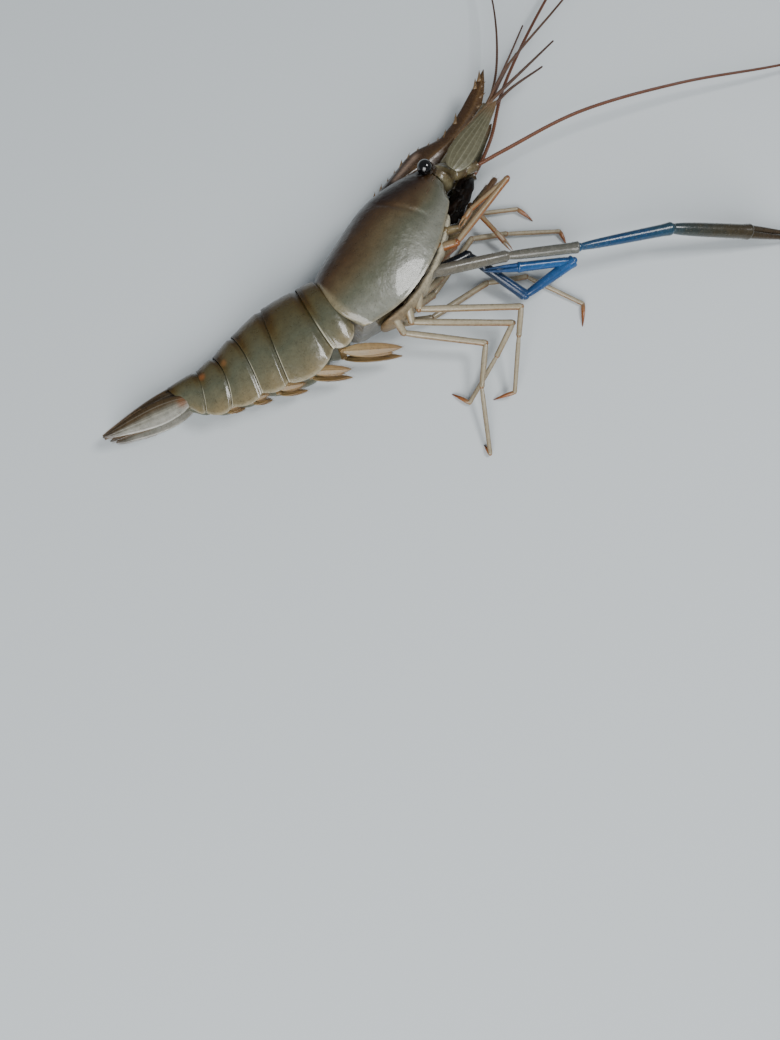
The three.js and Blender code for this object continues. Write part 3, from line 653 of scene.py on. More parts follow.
def wall(h: np.ndarray) -> np.ndarray:
    """Gives how far out the body's wall is.

    Args:
        h: heights, from the back (0) to the lower edge (1).

    Returns:
        Shares of the half width.
    """
    upper = np.clip(1 - np.abs(1 - h / 0.5) ** WALL_FULL, 0, 1) ** (1 / WALL_FULL)
    lower = 1 - WALL_DRAW * np.clip((h - 0.5) / 0.5, 0, 1) ** WALL_ROUND
    return np.where(h < 0.5, upper, lower)


def outline(steps: int, underside: Rows, fold: float) -> tuple[np.ndarray, np.ndarray]:
    """Gives the outline of a body section, from the back down the right side, under it and up the left.

    Args:
        steps: points down each side.
        underside: heights and shares of the half width under the body, from right to left.
        fold: the height at which the left wall ends.

    Returns:
        Heights, and shares of the half width.
    """
    h = 0.5 - 0.5 * np.cos(np.linspace(0, math.pi, steps))
    k = wall(h)
    under_h, under_k = np.array(underside, float).T
    left = np.where(h > FOLD_START, FOLD_START + (fold - FOLD_START) * (h - FOLD_START) / (1 - FOLD_START), h)
    return np.concatenate([h, under_h, left[:0:-1]]), np.concatenate([k, under_k, -k[:0:-1]])


def between(rows: Rows, share: np.ndarray) -> np.ndarray:
    """The places at shares of the way from a table's first row to its last."""
    return rows[0][0] + (rows[-1][0] - rows[0][0]) * share


def rounded(share: np.ndarray, power: int, least: float) -> np.ndarray:
    """Gives the width of a block that is full in the middle and rounded at both ends.

    Args:
        share: places along it, from 0 to 1.
        power: how long it stays full.
        least: the square of its width at the ends.

    Returns:
        Shares of its full width.
    """
    return np.sqrt(np.clip(1 - (2 * share - 1) ** power, least, 1))


@dataclass
class Carapace:
    """The shield over head and chest, with the soft underside of the chest between its edges."""

    rear: float = -1.0
    front: float = 50.0
    back: Rows = (
        (-1, 10.3), (3, 11.6), (11, 12.8), (19, 13.8), (27, 14.3), (34, 13.6), (42, 11.5), (50, 8.6),
    )
    margin: Rows = (
        (-1, -11.6), (7, -14.8), (14, -15.8), (23, -15.2), (32, -13.0), (39, -10.0), (46, -6.5), (50, -3.2),
    )
    half: Rows = ((-1, 10.6), (6, 12.0), (18, 12.7), (30, 12.4), (40, 10.4), (46, 8.4), (50, 6.2))
    channel: Rows = ((0.99, 0.66), (0.975, 0.45), (0.955, 0.0), (0.925, -0.45), (0.91, -0.66))
    left_end: float = 0.9
    # Nearer to the middle than this share of the half width, a low point lies in the channel.
    inner: float = 0.7
    # Depth of the neck groove and the gill line, height of the liver's swelling and the edge's bead.
    neck: float = 0.32
    liver: float = 0.2
    gill: float = 0.12
    bead: float = 0.25
    # Tones of what is hardly seen: the left side with a strip at the rear, and the channel, whose dark tone
    # is painted shade.
    hidden_tone: float = 0.55
    rear_end: float = 7.0
    shaded_channel_tone: float = 0.2
    rings: int = 130
    steps: int = 56
    cheek_spines: Sequence[tuple[float, float, float, float]] = ((47, 1.2, 7.9, 3.4), (41.5, -0.6, 9.9, 3.2))
    # The chest: half its width, half its thickness with its change at folds, a fold's place and the gap.
    chest_half: Rows = ((3, 6.4), (20, 6.2), (45, 4.2))
    chest_deep: tuple[float, float] = (1.7, 0.22)
    folds: tuple[float, float] = (8.5, 6.3)
    chest_lift: float = 0.2
    chest_tilt: float = 0.12

    def relief(self, u: np.ndarray, v: np.ndarray, h: np.ndarray) -> np.ndarray:
        """Gives the height of grooves and folds over the plain shell.

        Args:
            u: places along the head's line.
            v: places towards the back.
            h: heights on the wall, from the back (0) to the lower edge (1).

        Returns:
            Heights in millimetres.
        """
        neck = bump(u + 0.45 * v, 33.5, 0.9) * ease(v, -9, -3) * (1 - ease(v, 7, 10))
        liver = bump(u - 0.2 * v, 40.5, 2.2) * bump(v, -1.6, 1.3)
        gill = bump(v + 0.12 * u, 3.4, 0.8) * (1 - ease(u, 24, 32)) * ease(u, 3, 8)
        bead = ease(h, 0.955, 0.985)
        return self.liver * liver - self.neck * neck - self.gill * gill + self.bead * bead

    def shield(self) -> Skin:
        """Builds the shield and the spines on its cheeks.

        Returns:
            The shield.
        """
        skin = Skin()
        h, k = outline(self.steps, self.channel, self.left_end)
        # The last three rings turn in, which gives the front edge a thickness.
        t = np.concatenate([np.linspace(0, 1, self.rings), [1.0, 0.985, 0.95]])[:, None]
        shrink = np.concatenate([np.ones(self.rings), [0.95, 0.92, 0.9]])[:, None]
        u = self.rear + (self.front - self.rear) * t
        top, low = smooth(self.back, u), smooth(self.margin, u)
        v = top + (low - top) * h
        half = smooth(self.half, u)
        inner = np.abs(k) < self.inner
        fold = self.relief(u, v, np.where(inner, 0.0, h))
        fold[:, (h > 0.96) & inner] = 0
        # The rear is a little rounded and swings in a soft S, and the front is cut back at the eye.
        size = shrink * (0.93 + 0.07 * ease(t, 0, 0.03))
        swing = (1.6 * np.cos(5 * h) - 1.2) * np.clip(1 - t * 17, 0, 1)
        notch = (-2.0 * bump(h, 0.27, 0.09) - 1.2 * ease(h, 0.84, 1.0)) * ease(t, 0.9, 1.0)
        middle = (top + low) / 2
        spot_v = middle + (v - middle) * size + fold * np.cos(math.pi * h)
        spot_w = half * k * size + fold * np.sign(k) * np.sin(math.pi * np.clip(h, 0, 1))
        rings = HEAD.at(u + swing + notch, spot_v, spot_w)
        # The rim and the colours fade out towards the left side and the channel, which are hardly seen; in
        # the channel a dark painted shade takes their place.
        rim = 0.7 * (1 - ease(t, 0.012, 0.03)) + 0.5 * ease(h, 0.965, 0.99)
        near = 1 - np.where(k < 0, ease(h, 0.6, 0.85), ease(h, 0.8, 0.9) * (k < self.inner))
        shade = np.where((k < 0) | (u < self.rear_end), self.hidden_tone, self.shaded_channel_tone)
        skin.loft(rings, marked(np.clip(rim * near, 0, 1), h, shade + (self.tone(u, v, h) - shade) * near))
        for spine_u, spine_v, spine_w, long in self.cheek_spines:
            for side in Side:
                root = HEAD.at(spine_u - 1.2, spine_v, side.value * (spine_w - 1.2))
                tip = HEAD.at(spine_u + long, spine_v - 0.2, side.value * (spine_w + 0.35))
                limb(skin, root, tip, SPINE_FORM, 0.65, 0.05, tone=(0.45, 0.3), sides=12, rings=12)
        return skin

    @staticmethod
    def tone(u: np.ndarray, v: np.ndarray, h: np.ndarray) -> np.ndarray:
        """Gives the paint's tone: dark along the back and over the front, where only the lower part is pale.

        Args:
            u: places along the head's line.
            v: places towards the back.
            h: heights on the wall, from the back (0) to the lower edge (1).

        Returns:
            Tones from 0 to 1.
        """
        front = ease(u, 22, 42)
        rise = (1.06 + 0.45 * front) * np.clip(h - 0.3 * front, 0, 1)
        liver = bump(u - 0.2 * v, 36.5, 2.4) * bump(v, -0.6, 1.5)
        return np.clip(0.08 + rise - 0.14 * liver, 0, 1)

    def underside(self) -> Skin:
        """Builds the soft chest between the legs, with a fold for each pair of legs.

        Returns:
            The underside of the chest.
        """
        skin = Skin()
        t = np.linspace(0, 1, 90)[:, None]
        u = between(self.chest_half, t)
        rim = rounded(t, 12, 0.03)
        half = smooth(self.chest_half, u) * rim
        first, gap = self.folds
        deep = (self.chest_deep[0] + self.chest_deep[1] * np.cos(2 * math.pi * (u - first) / gap)) * rim
        turn = around(32)[None, :]
        tilt = self.chest_tilt * half * np.cos(turn)
        v = smooth(self.margin, u) - self.chest_lift + deep * np.sin(turn) - tilt
        rings = HEAD.at(u, v, half * np.cos(turn))
        skin.loft(rings, marked(t, turn / (2 * math.pi), 0.5 + 0.3 * np.cos(turn)))
        return skin

    def build(self) -> None:
        """Makes both pieces."""
        self.shield().finish("carapace_shell", CARAPACE_SHELL.paint(), "shell_brown", ["carapace"])
        self.underside().finish("chest_skin", CHEST_SKIN.paint(), "shell_pale", ["chest_underside"])


# Forms of limb segments and blades: places along the piece and shares of its radius or width.
SEGMENT_FORM: Rows = (
    (-0.02, 0.3), (-0.012, 0.5), (0.0, 0.62), (0.02, 0.74), (0.07, 0.86), (0.3, 0.99), (0.6, 1.0),
    (0.88, 0.98), (0.95, 1.03), (0.98, 1.06), (0.995, 1.0), (1.006, 0.75), (1.01, 0.4),
)
DACTYL_FORM: Rows = ((-0.03, 0.3), (0.0, 0.7), (0.06, 0.92), (0.35, 1.05), (0.7, 0.8), (0.9, 0.5), (1.0, 0.2))
SPINE_FORM: Rows = ((0.0, 1.0), (0.5, 0.72), (0.85, 0.4), (1.0, 0.1))
BLUNT_FORM: Rows = (
    (-0.02, 0.35), (0.0, 0.75), (0.06, 1.0), (0.5, 0.9), (0.85, 0.85), (0.97, 0.7), (1.0, 0.3),
)
FINGER_FORM: Rows = ((0.0, 0.7), (0.05, 0.95), (0.15, 1.0), (0.5, 0.9), (0.8, 0.85), (0.94, 0.8), (1.0, 0.35))
SCALE_FORM: Rows = (
    (0.0, 0.42), (0.03, 0.6), (0.08, 0.78), (0.2, 0.98), (0.36, 0.94), (0.55, 0.74), (0.76, 0.47),
    (0.92, 0.26), (1.0, 0.06),
)
SWIM_FORM: Rows = ((0.0, 0.35), (0.1, 0.7), (0.3, 1.0), (0.65, 0.85), (0.9, 0.4), (1.0, 0.06))
TAIL_FORM: Rows = (
    (0.0, 0.5), (0.12, 0.82), (0.34, 1.0), (0.56, 0.86), (0.78, 0.55), (0.93, 0.3), (1.0, 0.08),
)
# How narrowly the dark edges of a limb and of a blade follow them.
LIMB_EDGE, BLADE_EDGE = 3, 8


def limb(
    skin: Skin, start: np.ndarray, end: np.ndarray, form: Rows, start_radius: float, end_radius: float,
    tone: tuple[float, float] = (0, 1), bow: Sequence[float] = (0, 0, 0), edges: float = 0.0,
    flat: float = 1.0, sides: int = 20, rings: int = 40,
) -> None:
    """Adds one limb segment to a skin.

    Args:
        skin: the skin that gets it.
        start: its start, in millimetres.
        end: its end.
        form: shares of the radius along it.
        start_radius: its radius at the start.
        end_radius: its radius at the end.
        tone: the paint's tone at its start and end.
        bow: how far its middle is bent out.
        edges: how much darker the tone is along its two edges.
        flat: its height as a share of its width.
        sides: points round it.
        rings: rings along it.
    """
    places = np.array([p for p, _ in form])
    t = np.unique(np.concatenate([np.linspace(places[0], places[-1], rings), places]))
    clipped = np.clip(t, 0, 1)
    line = end - start
    middle = start + t[:, None] * line + np.sin(math.pi * clipped)[:, None] * np.array(bow, float)
    side, up = across(unit(np.gradient(middle, axis=0)))
    radius = (start_radius + (end_radius - start_radius) * clipped) * smooth(form, t)
    turn = around(sides)
    ring = (
        middle[:, None]
        + radius[:, None, None] * np.cos(turn)[None, :, None] * side[:, None]
        + flat * radius[:, None, None] * np.sin(turn)[None, :, None] * up[:, None]
    )
    shade = tone[0] + (tone[1] - tone[0]) * clipped[:, None] + edges * np.abs(np.cos(turn)) ** LIMB_EDGE
    skin.loft(ring, marked(0.0, turn / (2 * math.pi), shade))


def ball(
    centre: np.ndarray, radius: float, axes: Sequence[np.ndarray], rings: int, sides: int, gap: float,
) -> tuple[np.ndarray, np.ndarray]:
    """Gives the rings of points of a ball.

    Args:
        centre: its middle, in millimetres.
        radius: its radius.
        axes: two directions across its pole, and the direction of the pole.
        rings: rings from pole to pole.
        sides: points round each ring.
        gap: angle between a pole and the first ring.

    Returns:
        The points as rings by points by three, and the angle of each ring from the pole.
    """
    side, up, pole = axes
    fall = np.linspace(gap, math.pi - gap, rings)[:, None, None]
    turn = around(sides)[None, :, None]
    around_pole = np.cos(turn) * side + np.sin(turn) * up
    return centre + radius * (np.cos(fall) * pole + np.sin(fall) * around_pole), fall[..., 0]


def knuckle(skin: Skin, centre: np.ndarray, radius: float, tone: float) -> None:
    """Adds the round soft joint between two limb segments.

    Args:
        skin: the skin that gets it.
        centre: its middle, in millimetres.
        radius: its radius.
        tone: the paint's tone.
    """
    points, _ = ball(centre, radius, np.eye(3), rings=14, sides=18, gap=0.03)
    skin.loft(points, marked(0.0, around(18)[None, :], np.full((14, 1), tone)))


def blade(
    skin: Skin, start: np.ndarray, end: np.ndarray, wide: Sequence[float], half: float, thick: float,
    form: Rows, tone: tuple[float, float] = (0, 1), rise: float = 0.0, tip: float = 0.0, rib: float = 0.0,
    sides: int = 48, rings: int = 60,
) -> None:
    """Adds a flat blade, such as a tail plate, to a skin.

    Args:
        skin: the skin that gets it.
        start: its root, in millimetres.
        end: its tip.
        wide: the direction of its width.
        half: half its width at the widest.
        thick: its thickness.
        form: shares of the width along it.
        tone: the paint's tone at its root and tip.
        rise: how much the tone rises across its width.
        tip: share of the rim's colour at its tip.
        rib: height of the rib down its middle.
        sides: points round it.
        rings: rings along it.
    """
    t = (0.5 - 0.5 * np.cos(np.linspace(0, math.pi, rings)))[:, None]
    line = end - start
    face, edge = across(unit(line)[None, :], wide)
    share = smooth(form, t)
    turn = around(sides)[None, :]
    place = np.sin(turn)
    out = half * share * place
    lift = (thick / 2) * (0.5 + 0.5 * share) * np.cos(turn)
    lift = lift + rib * share * bump(place, 0, 0.14) * np.sign(np.cos(turn))
    ring = (start + t * line)[:, None] + out[..., None] * edge[None] + lift[..., None] * face[None]
    shade = tone[0] + (tone[1] - tone[0]) * t + rise * place + 0.15 * np.abs(place) ** BLADE_EDGE
    skin.loft(ring, marked(tip * ease(t, 0.7, 1.0), 0.5 + 0.5 * place, np.clip(shade, 0, 1)))


def open_tree(name: str, inputs: dict[str, str]) -> tuple[bpy.types.NodeTree, bpy.types.NodeOutputs]:
    """Starts a geometry tree that takes a mesh and named values.

    Args:
        name: the tree's name.
        inputs: the kind of each value by its name.

    Returns:
        The tree, and the sockets that give its inputs.
    """
    tree = bpy.data.node_groups.new(name, "GeometryNodeTree")
    for label, kind in {"Geometry": "Geometry", **inputs}.items():
        tree.interface.new_socket(label, in_out="INPUT", socket_type=f"NodeSocket{kind}")
    tree.interface.new_socket("Geometry", in_out="OUTPUT", socket_type="NodeSocketGeometry")
    return tree, add(tree, "NodeGroupInput").outputs


def close_tree(tree: bpy.types.NodeTree, geometry: bpy.types.NodeSocket, paint: bpy.types.NodeSocket) -> None:
    """Ends a geometry tree with real geometry that has its material.

    Args:
        tree: the tree.
        geometry: what the tree has made.
        paint: the material.
    """
    real = add(tree, "GeometryNodeRealizeInstances", {"Geometry": geometry}).outputs[0]
    dressed = add(tree, "GeometryNodeSetMaterial", {"Geometry": real, "Material": paint}).outputs[0]
    add(tree, "NodeGroupOutput", {"Geometry": dressed})


def spine_tree() -> bpy.types.NodeTree:
    """Builds the tree that stands a tapered spine on each point, leaning and sized by the point's attributes.

    Returns:
        The tree, with inputs for the spine's root width, its faces, its bend, the seed and the material.
    """
    tree, given = open_tree("spines_on_points", {
        "Width": "Float", "Faces": "Int", "Bend": "Float", "Seed": "Int", "Material": "Material",
    })
    cone = add(tree, "GeometryNodeMeshCone", {
        "Vertices": given["Faces"], "Side Segments": 4, "Radius Top": 0.0, "Radius Bottom": given["Width"],
        "Depth": 1.0,
    }, fill_type="NGON").outputs["Mesh"]
    place = add(tree, "GeometryNodeInputPosition").outputs[0]
    height = add(tree, "ShaderNodeSeparateXYZ", {0: place}).outputs["Z"]
    square = add(tree, "ShaderNodeMath", {0: height, 1: height}, operation="MULTIPLY").outputs[0]
    sway = add(tree, "ShaderNodeMath", {0: square, 1: given["Bend"]}, operation="MULTIPLY").outputs[0]
    shift = add(tree, "ShaderNodeCombineXYZ", {0: sway}).outputs[0]
    cone = add(tree, "GeometryNodeSetPosition", {"Geometry": cone, "Offset": shift}).outputs[0]
    lean = add(tree, "GeometryNodeInputNamedAttribute", {"Name": "lean"}, data_type="FLOAT_VECTOR").outputs[0]
    size = add(tree, "GeometryNodeInputNamedAttribute", {"Name": "size"}, data_type="FLOAT").outputs[0]
    turn = add(tree, "FunctionNodeAlignRotationToVector", {"Vector": lean}, axis="Z").outputs[0]
    shortest, longest = 0.82, 1.12
    vary = add(tree, "FunctionNodeRandomValue", {
        2: shortest, 3: longest, "Seed": given["Seed"],
    }, data_type="FLOAT").outputs[1]
    scale = add(tree, "ShaderNodeMath", {0: size, 1: vary}, operation="MULTIPLY").outputs[0]
    spread = add(tree, "GeometryNodeInstanceOnPoints", {
        "Points": given["Geometry"], "Instance": cone, "Rotation": turn, "Scale": scale,
    }).outputs[0]
    close_tree(tree, spread, given["Material"])
    return tree


def whip_tree() -> bpy.types.NodeTree:
    """Builds the tree that turns a line into a tapering whip with a ring at each of its many joints.

    Returns:
        The tree, with inputs for the joints, the steps, the radii, the rings and the material.
    """
    tree, given = open_tree("ringed_whip", {
        "Joint Length": "Float", "Steps": "Int", "Root Radius": "Float", "Tip Radius": "Float",
        "Ring Height": "Float", "Material": "Material",
    })
    line = add(tree, "GeometryNodeMeshToCurve", {"Mesh": given["Geometry"]}).outputs[0]
    line = add(tree, "GeometryNodeResampleCurve", {"Curve": line, "Count": given["Steps"]}).outputs[0]
    along = add(tree, "GeometryNodeSplineParameter").outputs
    joint = add(tree, "ShaderNodeMath", {
        0: along["Length"], 1: given["Joint Length"],
    }, operation="DIVIDE").outputs[0]
    angle = add(tree, "ShaderNodeMath", {0: joint, 1: 2 * math.pi}, operation="MULTIPLY").outputs[0]
    wave = add(tree, "ShaderNodeMath", {0: angle}, operation="SINE").outputs[0]
    ring = add(tree, "ShaderNodeMath", {
        0: wave, 1: given["Ring Height"], 2: 1.0,
    }, operation="MULTIPLY_ADD").outputs[0]
    taper = add(tree, "ShaderNodeMapRange", {
        0: along["Factor"], 1: 0.0, 2: 1.0, 3: given["Root Radius"], 4: given["Tip Radius"],
    }).outputs[0]
    radius = add(tree, "ShaderNodeMath", {0: ring, 1: taper}, operation="MULTIPLY").outputs[0]
    marks = add(tree, "ShaderNodeCombineXYZ", {1: ring, 2: along["Factor"]}).outputs[0]
    line = add(tree, "GeometryNodeStoreNamedAttribute", {
        "Geometry": line, "Name": MARKS, "Value": marks,
    }, data_type="FLOAT_VECTOR", domain="POINT").outputs[0]
    profile = add(tree, "GeometryNodeCurvePrimitiveCircle", {"Resolution": 10, "Radius": 1.0}).outputs[0]
    tube = add(tree, "GeometryNodeCurveToMesh", {
        "Curve": line, "Profile Curve": profile, "Scale": radius, "Fill Caps": True,
    }).outputs[0]
    close_tree(tree, tube, given["Material"])
    return tree


def grow(mesh: bpy.types.Mesh, tree: bpy.types.NodeTree, values: dict[str, object]) -> bpy.types.Mesh:
    """Runs a geometry tree over a mesh and gives the plain mesh that comes out.

    Args:
        mesh: what the tree starts from.
        tree: the tree.
        values: values for its named inputs.

    Returns:
        The evaluated mesh, with no modifier left.
    """
    holder = bpy.data.objects.new("holder", mesh)
    bpy.context.scene.collection.objects.link(holder)
    modifier = holder.modifiers.new("grow", "NODES")
    modifier.node_group = tree
    for item in tree.interface.items_tree:
        if item.in_out == "INPUT" and item.name in values:
            modifier[item.identifier] = values[item.name]
    graph = bpy.context.evaluated_depsgraph_get()
    made = bpy.data.meshes.new_from_object(
        holder.evaluated_get(graph), preserve_all_data_layers=True, depsgraph=graph,
    )
    bpy.data.objects.remove(holder)
    return made


# Seed of the small differences in length between spines.
SPINE_SEED = 3
# Share of a blade's half width at which the setae of its fringe stand.
FRINGE_ROOT = 0.97


@dataclass
class Spines:
    """Spines, teeth or setae that stand on points of a surface."""

    tree: bpy.types.NodeTree
    roots: list[np.ndarray] = field(default_factory=list)
    tips: list[np.ndarray] = field(default_factory=list)

    def stand(self, root: np.ndarray, tip: np.ndarray) -> None:
        """Adds one spine from its root to its tip, in millimetres."""
        self.roots.append(np.array(root, float))
        self.tips.append(np.array(tip, float))

    def fringe(
        self, start: np.ndarray, end: np.ndarray, wide: Sequence[float], half: float, form: Rows,
        places: np.ndarray, lean: tuple[float, float], ways: Sequence[int] = (-1, 1),
    ) -> None:
        """Adds setae along the edges of a blade.

        Args:
            start: the blade's root, in millimetres.
            end: its tip.
            wide: the direction of its width.
            half: half its width at the widest.
            form: shares of the width along it.
            places: where the setae stand, as shares of its length.
            lean: how far a seta reaches along the blade, and out from it.
            ways: the edges that have setae.
        """
        line = unit(end - start)
        edge = unit(np.cross(np.cross(line, np.array(wide, float)), line))
        for t in places:
            for way in ways:
                spot = start + (end - start) * t + edge * way * half * smooth(form, t) * FRINGE_ROOT
                self.stand(spot, spot + line * lean[0] + edge * way * lean[1])

    def scatter(
        self, start: np.ndarray, end: np.ndarray, places: np.ndarray, radii: np.ndarray,
        lean: tuple[float, float], seed: int,
    ) -> None:
        """Adds spines that stand round a segment at chance angles.

        Args:
            start: the segment's start, in millimetres.
            end: its end.
            places: where the spines stand, as shares of its length.
            radii: how far out from its middle each one stands.
            lean: how far a spine reaches along the segment, and out from it.
            seed: seed of the angles.
        """
        line = unit(end - start)
        side, up = across(line)
        random = np.random.default_rng(seed)
        for t, radius in zip(places, radii):
            turn = random.uniform(0, 2 * math.pi)
            out = side * math.cos(turn) + up * math.sin(turn)
            spot = start + (end - start) * t + out * radius
            self.stand(spot, spot + out * lean[1] + line * lean[0])

    def finish(
        self, name: str, paint: bpy.types.Material, slot: str, width: float, bend: float, faces: int,
    ) -> None:
        """Makes the spines one piece.

        Args:
            name: the piece's name.
            paint: its material.
            slot: the record's material slot.
            width: a spine's root radius as a share of its length.
            bend: how far its tip bends, as a share of its length.
            faces: faces round a spine.
        """
        roots, tips = np.array(self.roots), np.array(self.tips)
        lean = tips - roots
        mesh = bpy.data.meshes.new(name)
        mesh.from_pydata((roots * MM).tolist(), [], [])
        mesh.attributes.new("lean", "FLOAT_VECTOR", "POINT").data.foreach_set("vector", lean.ravel())
        long = np.linalg.norm(lean, axis=1) * MM
        mesh.attributes.new("size", "FLOAT", "POINT").data.foreach_set("value", long)
        made = grow(mesh, self.tree, {
            "Width": width, "Faces": faces, "Bend": bend, "Seed": SPINE_SEED, "Material": paint,
        })
        dress(made, name, paint, slot)


@dataclass(frozen=True)
class Teeth:
    """A row of teeth along one edge of the rostrum.

    Attributes:
        edge: the line of the edge.
        places: where the teeth stand along it.
        root: how far forward of its place and over the edge a tooth's root lies, in millimetres.
        tip: the same for its tip, over the edge as it is ahead.
        ahead: how far ahead that is.
    """

    edge: Rows
    places: Sequence[float]
    root: tuple[float, float]
    tip: tuple[float, float]
    ahead: float = 2.6


@dataclass
class Rostrum:
    """The toothed blade over the eyes."""

    spines: bpy.types.NodeTree
    upper: Rows = (
        (27, 13.4), (36, 14.4), (45, 14.5), (52, 14.5), (57, 13.6), (66, 10.2), (72, 10.3), (83, 12.1),
        (93, 14.0),
    )
    lower: Rows = (
        (27, 11.0), (42, 9.0), (50, 6.5), (57, 4.7), (66, 4.8), (75, 5.5), (82, 6.9), (88, 9.9), (93, 13.6),
    )
    half: Rows = ((27, 0.9), (36, 1.8), (45, 1.9), (58, 1.3), (70, 0.85), (93, 0.35))
    # The blade's height over its lines, and the height and place of the rib along each side.
    swell: float = 1.06
    rib: float = 0.35
    rib_place: float = -0.15
    upper_teeth: Sequence[float] = (72.5, 86.5, 89.5, *np.linspace(35, 66.5, 10))
    lower_teeth: Sequence[float] = tuple(np.linspace(61, 88, 9))

    def blade(self) -> Skin:
        """Builds the blade, with a rib along each side and a pale streak near its root.

        Returns:
            The blade.
        """
        skin = Skin()
        u = between(self.upper, np.linspace(0, 1, 150)[:, None])
        top, low = smooth(self.upper, u), smooth(self.lower, u)
        turn = around(40)[None, :]
        height, flank = np.sin(turn), np.abs(np.cos(turn))
        rib = self.rib * bump(height, self.rib_place, 0.16)
        wide = smooth(self.half, u) * (flank**1.15 * (0.55 + 0.45 * flank) + rib)
        v = (top + low) / 2 + self.swell * (top - low) / 2 * height
        rings = HEAD.at(u, v, wide * np.sign(np.cos(turn)))
        shade = 0.55 + 0.2 * height - 0.3 * bump(height, self.rib_place, 0.2) + 0.4 * (1 - ease(u, 34, 58))
        streak = 0.75 * bump(v, 12.4, 0.75) * ease(u, 42, 45) * (1 - ease(u, 54, 57))
        skin.loft(rings, marked(streak, 0.5 + height / 2, np.clip(shade, 0, 1)))
        return skin

    def build(self) -> None:
        """Makes the blade and its teeth."""
        paint = ROSTRUM_SHELL.paint()
        self.blade().finish("rostrum_blade", paint, "shell_brown", ["rostrum"])
        teeth = Spines(self.spines)
        for row in (
            Teeth(self.upper, self.upper_teeth, (-0.9, -1.0), (2.6, 1.0)),
            Teeth(self.lower, self.lower_teeth, (-0.7, 0.9), (2.4, -0.9)),
        ):
            for place in row.places:
                root = HEAD.at(place + row.root[0], smooth(row.edge, place) + row.root[1], 0)
                tip = HEAD.at(place + row.tip[0], smooth(row.edge, place + row.ahead) + row.tip[1], 0)
                teeth.stand(root, tip)
        teeth.finish("rostrum_teeth", paint, "shell_brown", width=0.19, bend=0.0, faces=12)


@dataclass(frozen=True)
class Lump:
    """A rounded block along the head's line: its reach, middle height, half width, half height and lumps."""

    reach: tuple[float, float]
    v: Rows
    half: Rows
    high: Rows
    lumps: float

    def loft(self, skin: Skin) -> None:
        """Adds the block to a skin.

        Args:
            skin: the skin that gets it.
        """
        t = np.linspace(0, 1, 60)[:, None]
        u = self.reach[0] + (self.reach[1] - self.reach[0]) * t
        turn = around(48)[None, :]
        lump = 1 - self.lumps * (0.5 + 0.5 * np.sin(5 * turn + 9 * t) * np.sin(14 * t))
        size = rounded(t, 10, 0.02) * lump
        v = smooth(self.v, u) + smooth(self.high, u) * size * np.sin(turn)
        rings = HEAD.at(u, v, smooth(self.half, u) * size * np.cos(turn))
        skin.loft(rings, marked(0.0, turn, 0.5 + 0.3 * np.sin(3 * turn + 7 * t)))


@dataclass
class HeadFront:
    """The front of the head, the eyes on their stalks and the mouthparts, painted nearly black as shade."""

    face: Lump = Lump(
        (50.4, 58.5), ((50, 2.6), (58.5, 1.2)), ((50, 5.6), (54, 5.4), (58.5, 3.4)),
        ((50, 5.1), (54, 4.8), (58.5, 2.8)), 0.07,
    )
    mouth: Lump = Lump(
        (43.0, 60.0), ((43, -8.4), (52, -7.2), (60, -6.2)), ((43, 3.4), (50, 4.9), (56, 4.0), (60, 1.6)),
        ((43, 2.0), (50, 3.2), (56, 2.6), (60, 1.0)), 0.22,
    )
    # Root and length of the flat limbs along each side of the mouth.
    palps: Sequence[tuple[float, float, float, float]] = (
        (46, -9.4, 3.0, 8.0), (49, -8.4, 4.2, 7.0), (51, -6.4, 4.4, 6.0), (47.5, -10.2, 1.6, 9.0),
    )
    # The right eye, and the root of its stalk, which fills a share of the way to the eye's middle.
    eye: Spot = (49.6, 5.4, 7.7)
    eye_radius: float = 2.35
    stalk: Spot = (52.6, 3.6, 3.4)
    stalk_share: float = 0.72
    stalk_radii: tuple[float, float] = (1.45, 2.0)

    def build(self) -> None:
        """Makes the face, the mouthparts and the eyes."""
        stalk_paint = STALK_SHELL.paint()
        skin = Skin()
        self.face.loft(skin)
        skin.finish("head_front_shell", STEM_SHELL.paint(), "shell_brown", ["head_front"])
        skin = Skin()
        self.mouth.loft(skin)
        for side in Side:
            for index, (u, v, w, long) in enumerate(self.palps):
                root = HEAD.at(u, v, side.value * w)
                tip = HEAD.at(u + long, v + 0.9 + 0.4 * index, side.value * w * 0.55)
                limb(skin, root, tip, BLUNT_FORM, 1.1, 0.7, tone=(0.1, 0.9), bow=(0, 0.6, 0), flat=0.6)
        # The mouthparts' near black is painted shade.
        skin.finish("mouthpart_block", MOUTH_SHADE.paint(), "shell_brown", ["mouthparts"])
        cornea = CORNEA.paint()
        for side in Side:
            centre, root = [HEAD.at(u, v, side.value * w) for u, v, w in (self.eye, self.stalk)]
            skin = self.cornea(centre, centre - root)
            skin.finish(f"cornea_{side.word}", cornea, "eye", [f"eye_{side.word}"])
            skin = Skin()
            reach = root + (centre - root) * self.stalk_share
            limb(skin, root, reach, SEGMENT_FORM, *self.stalk_radii, tone=(0.2, 0.9), sides=28)
            skin.finish(f"eyestalk_shell_{side.word}", stalk_paint, "shell_brown", [f"eyestalk_{side.word}"])

    def cornea(self, centre: np.ndarray, out: np.ndarray) -> Skin:
        """Builds one cornea.

        Args:
            centre: its middle, in millimetres.
            out: the direction it looks in, where its pole lies.

        Returns:
            The cornea.
        """
        skin = Skin()
        pole = unit(out)
        points, fall = ball(centre, self.eye_radius, (*across(pole), pole), rings=40, sides=48, gap=0.02)
        skin.loft(points, marked(0.0, around(48)[None, :], fall / math.pi))
        return skin


# Points of a lash's smooth line, and steps of its skin to each of its joints.
LASH_POINTS = 200
JOINT_STEPS = 6


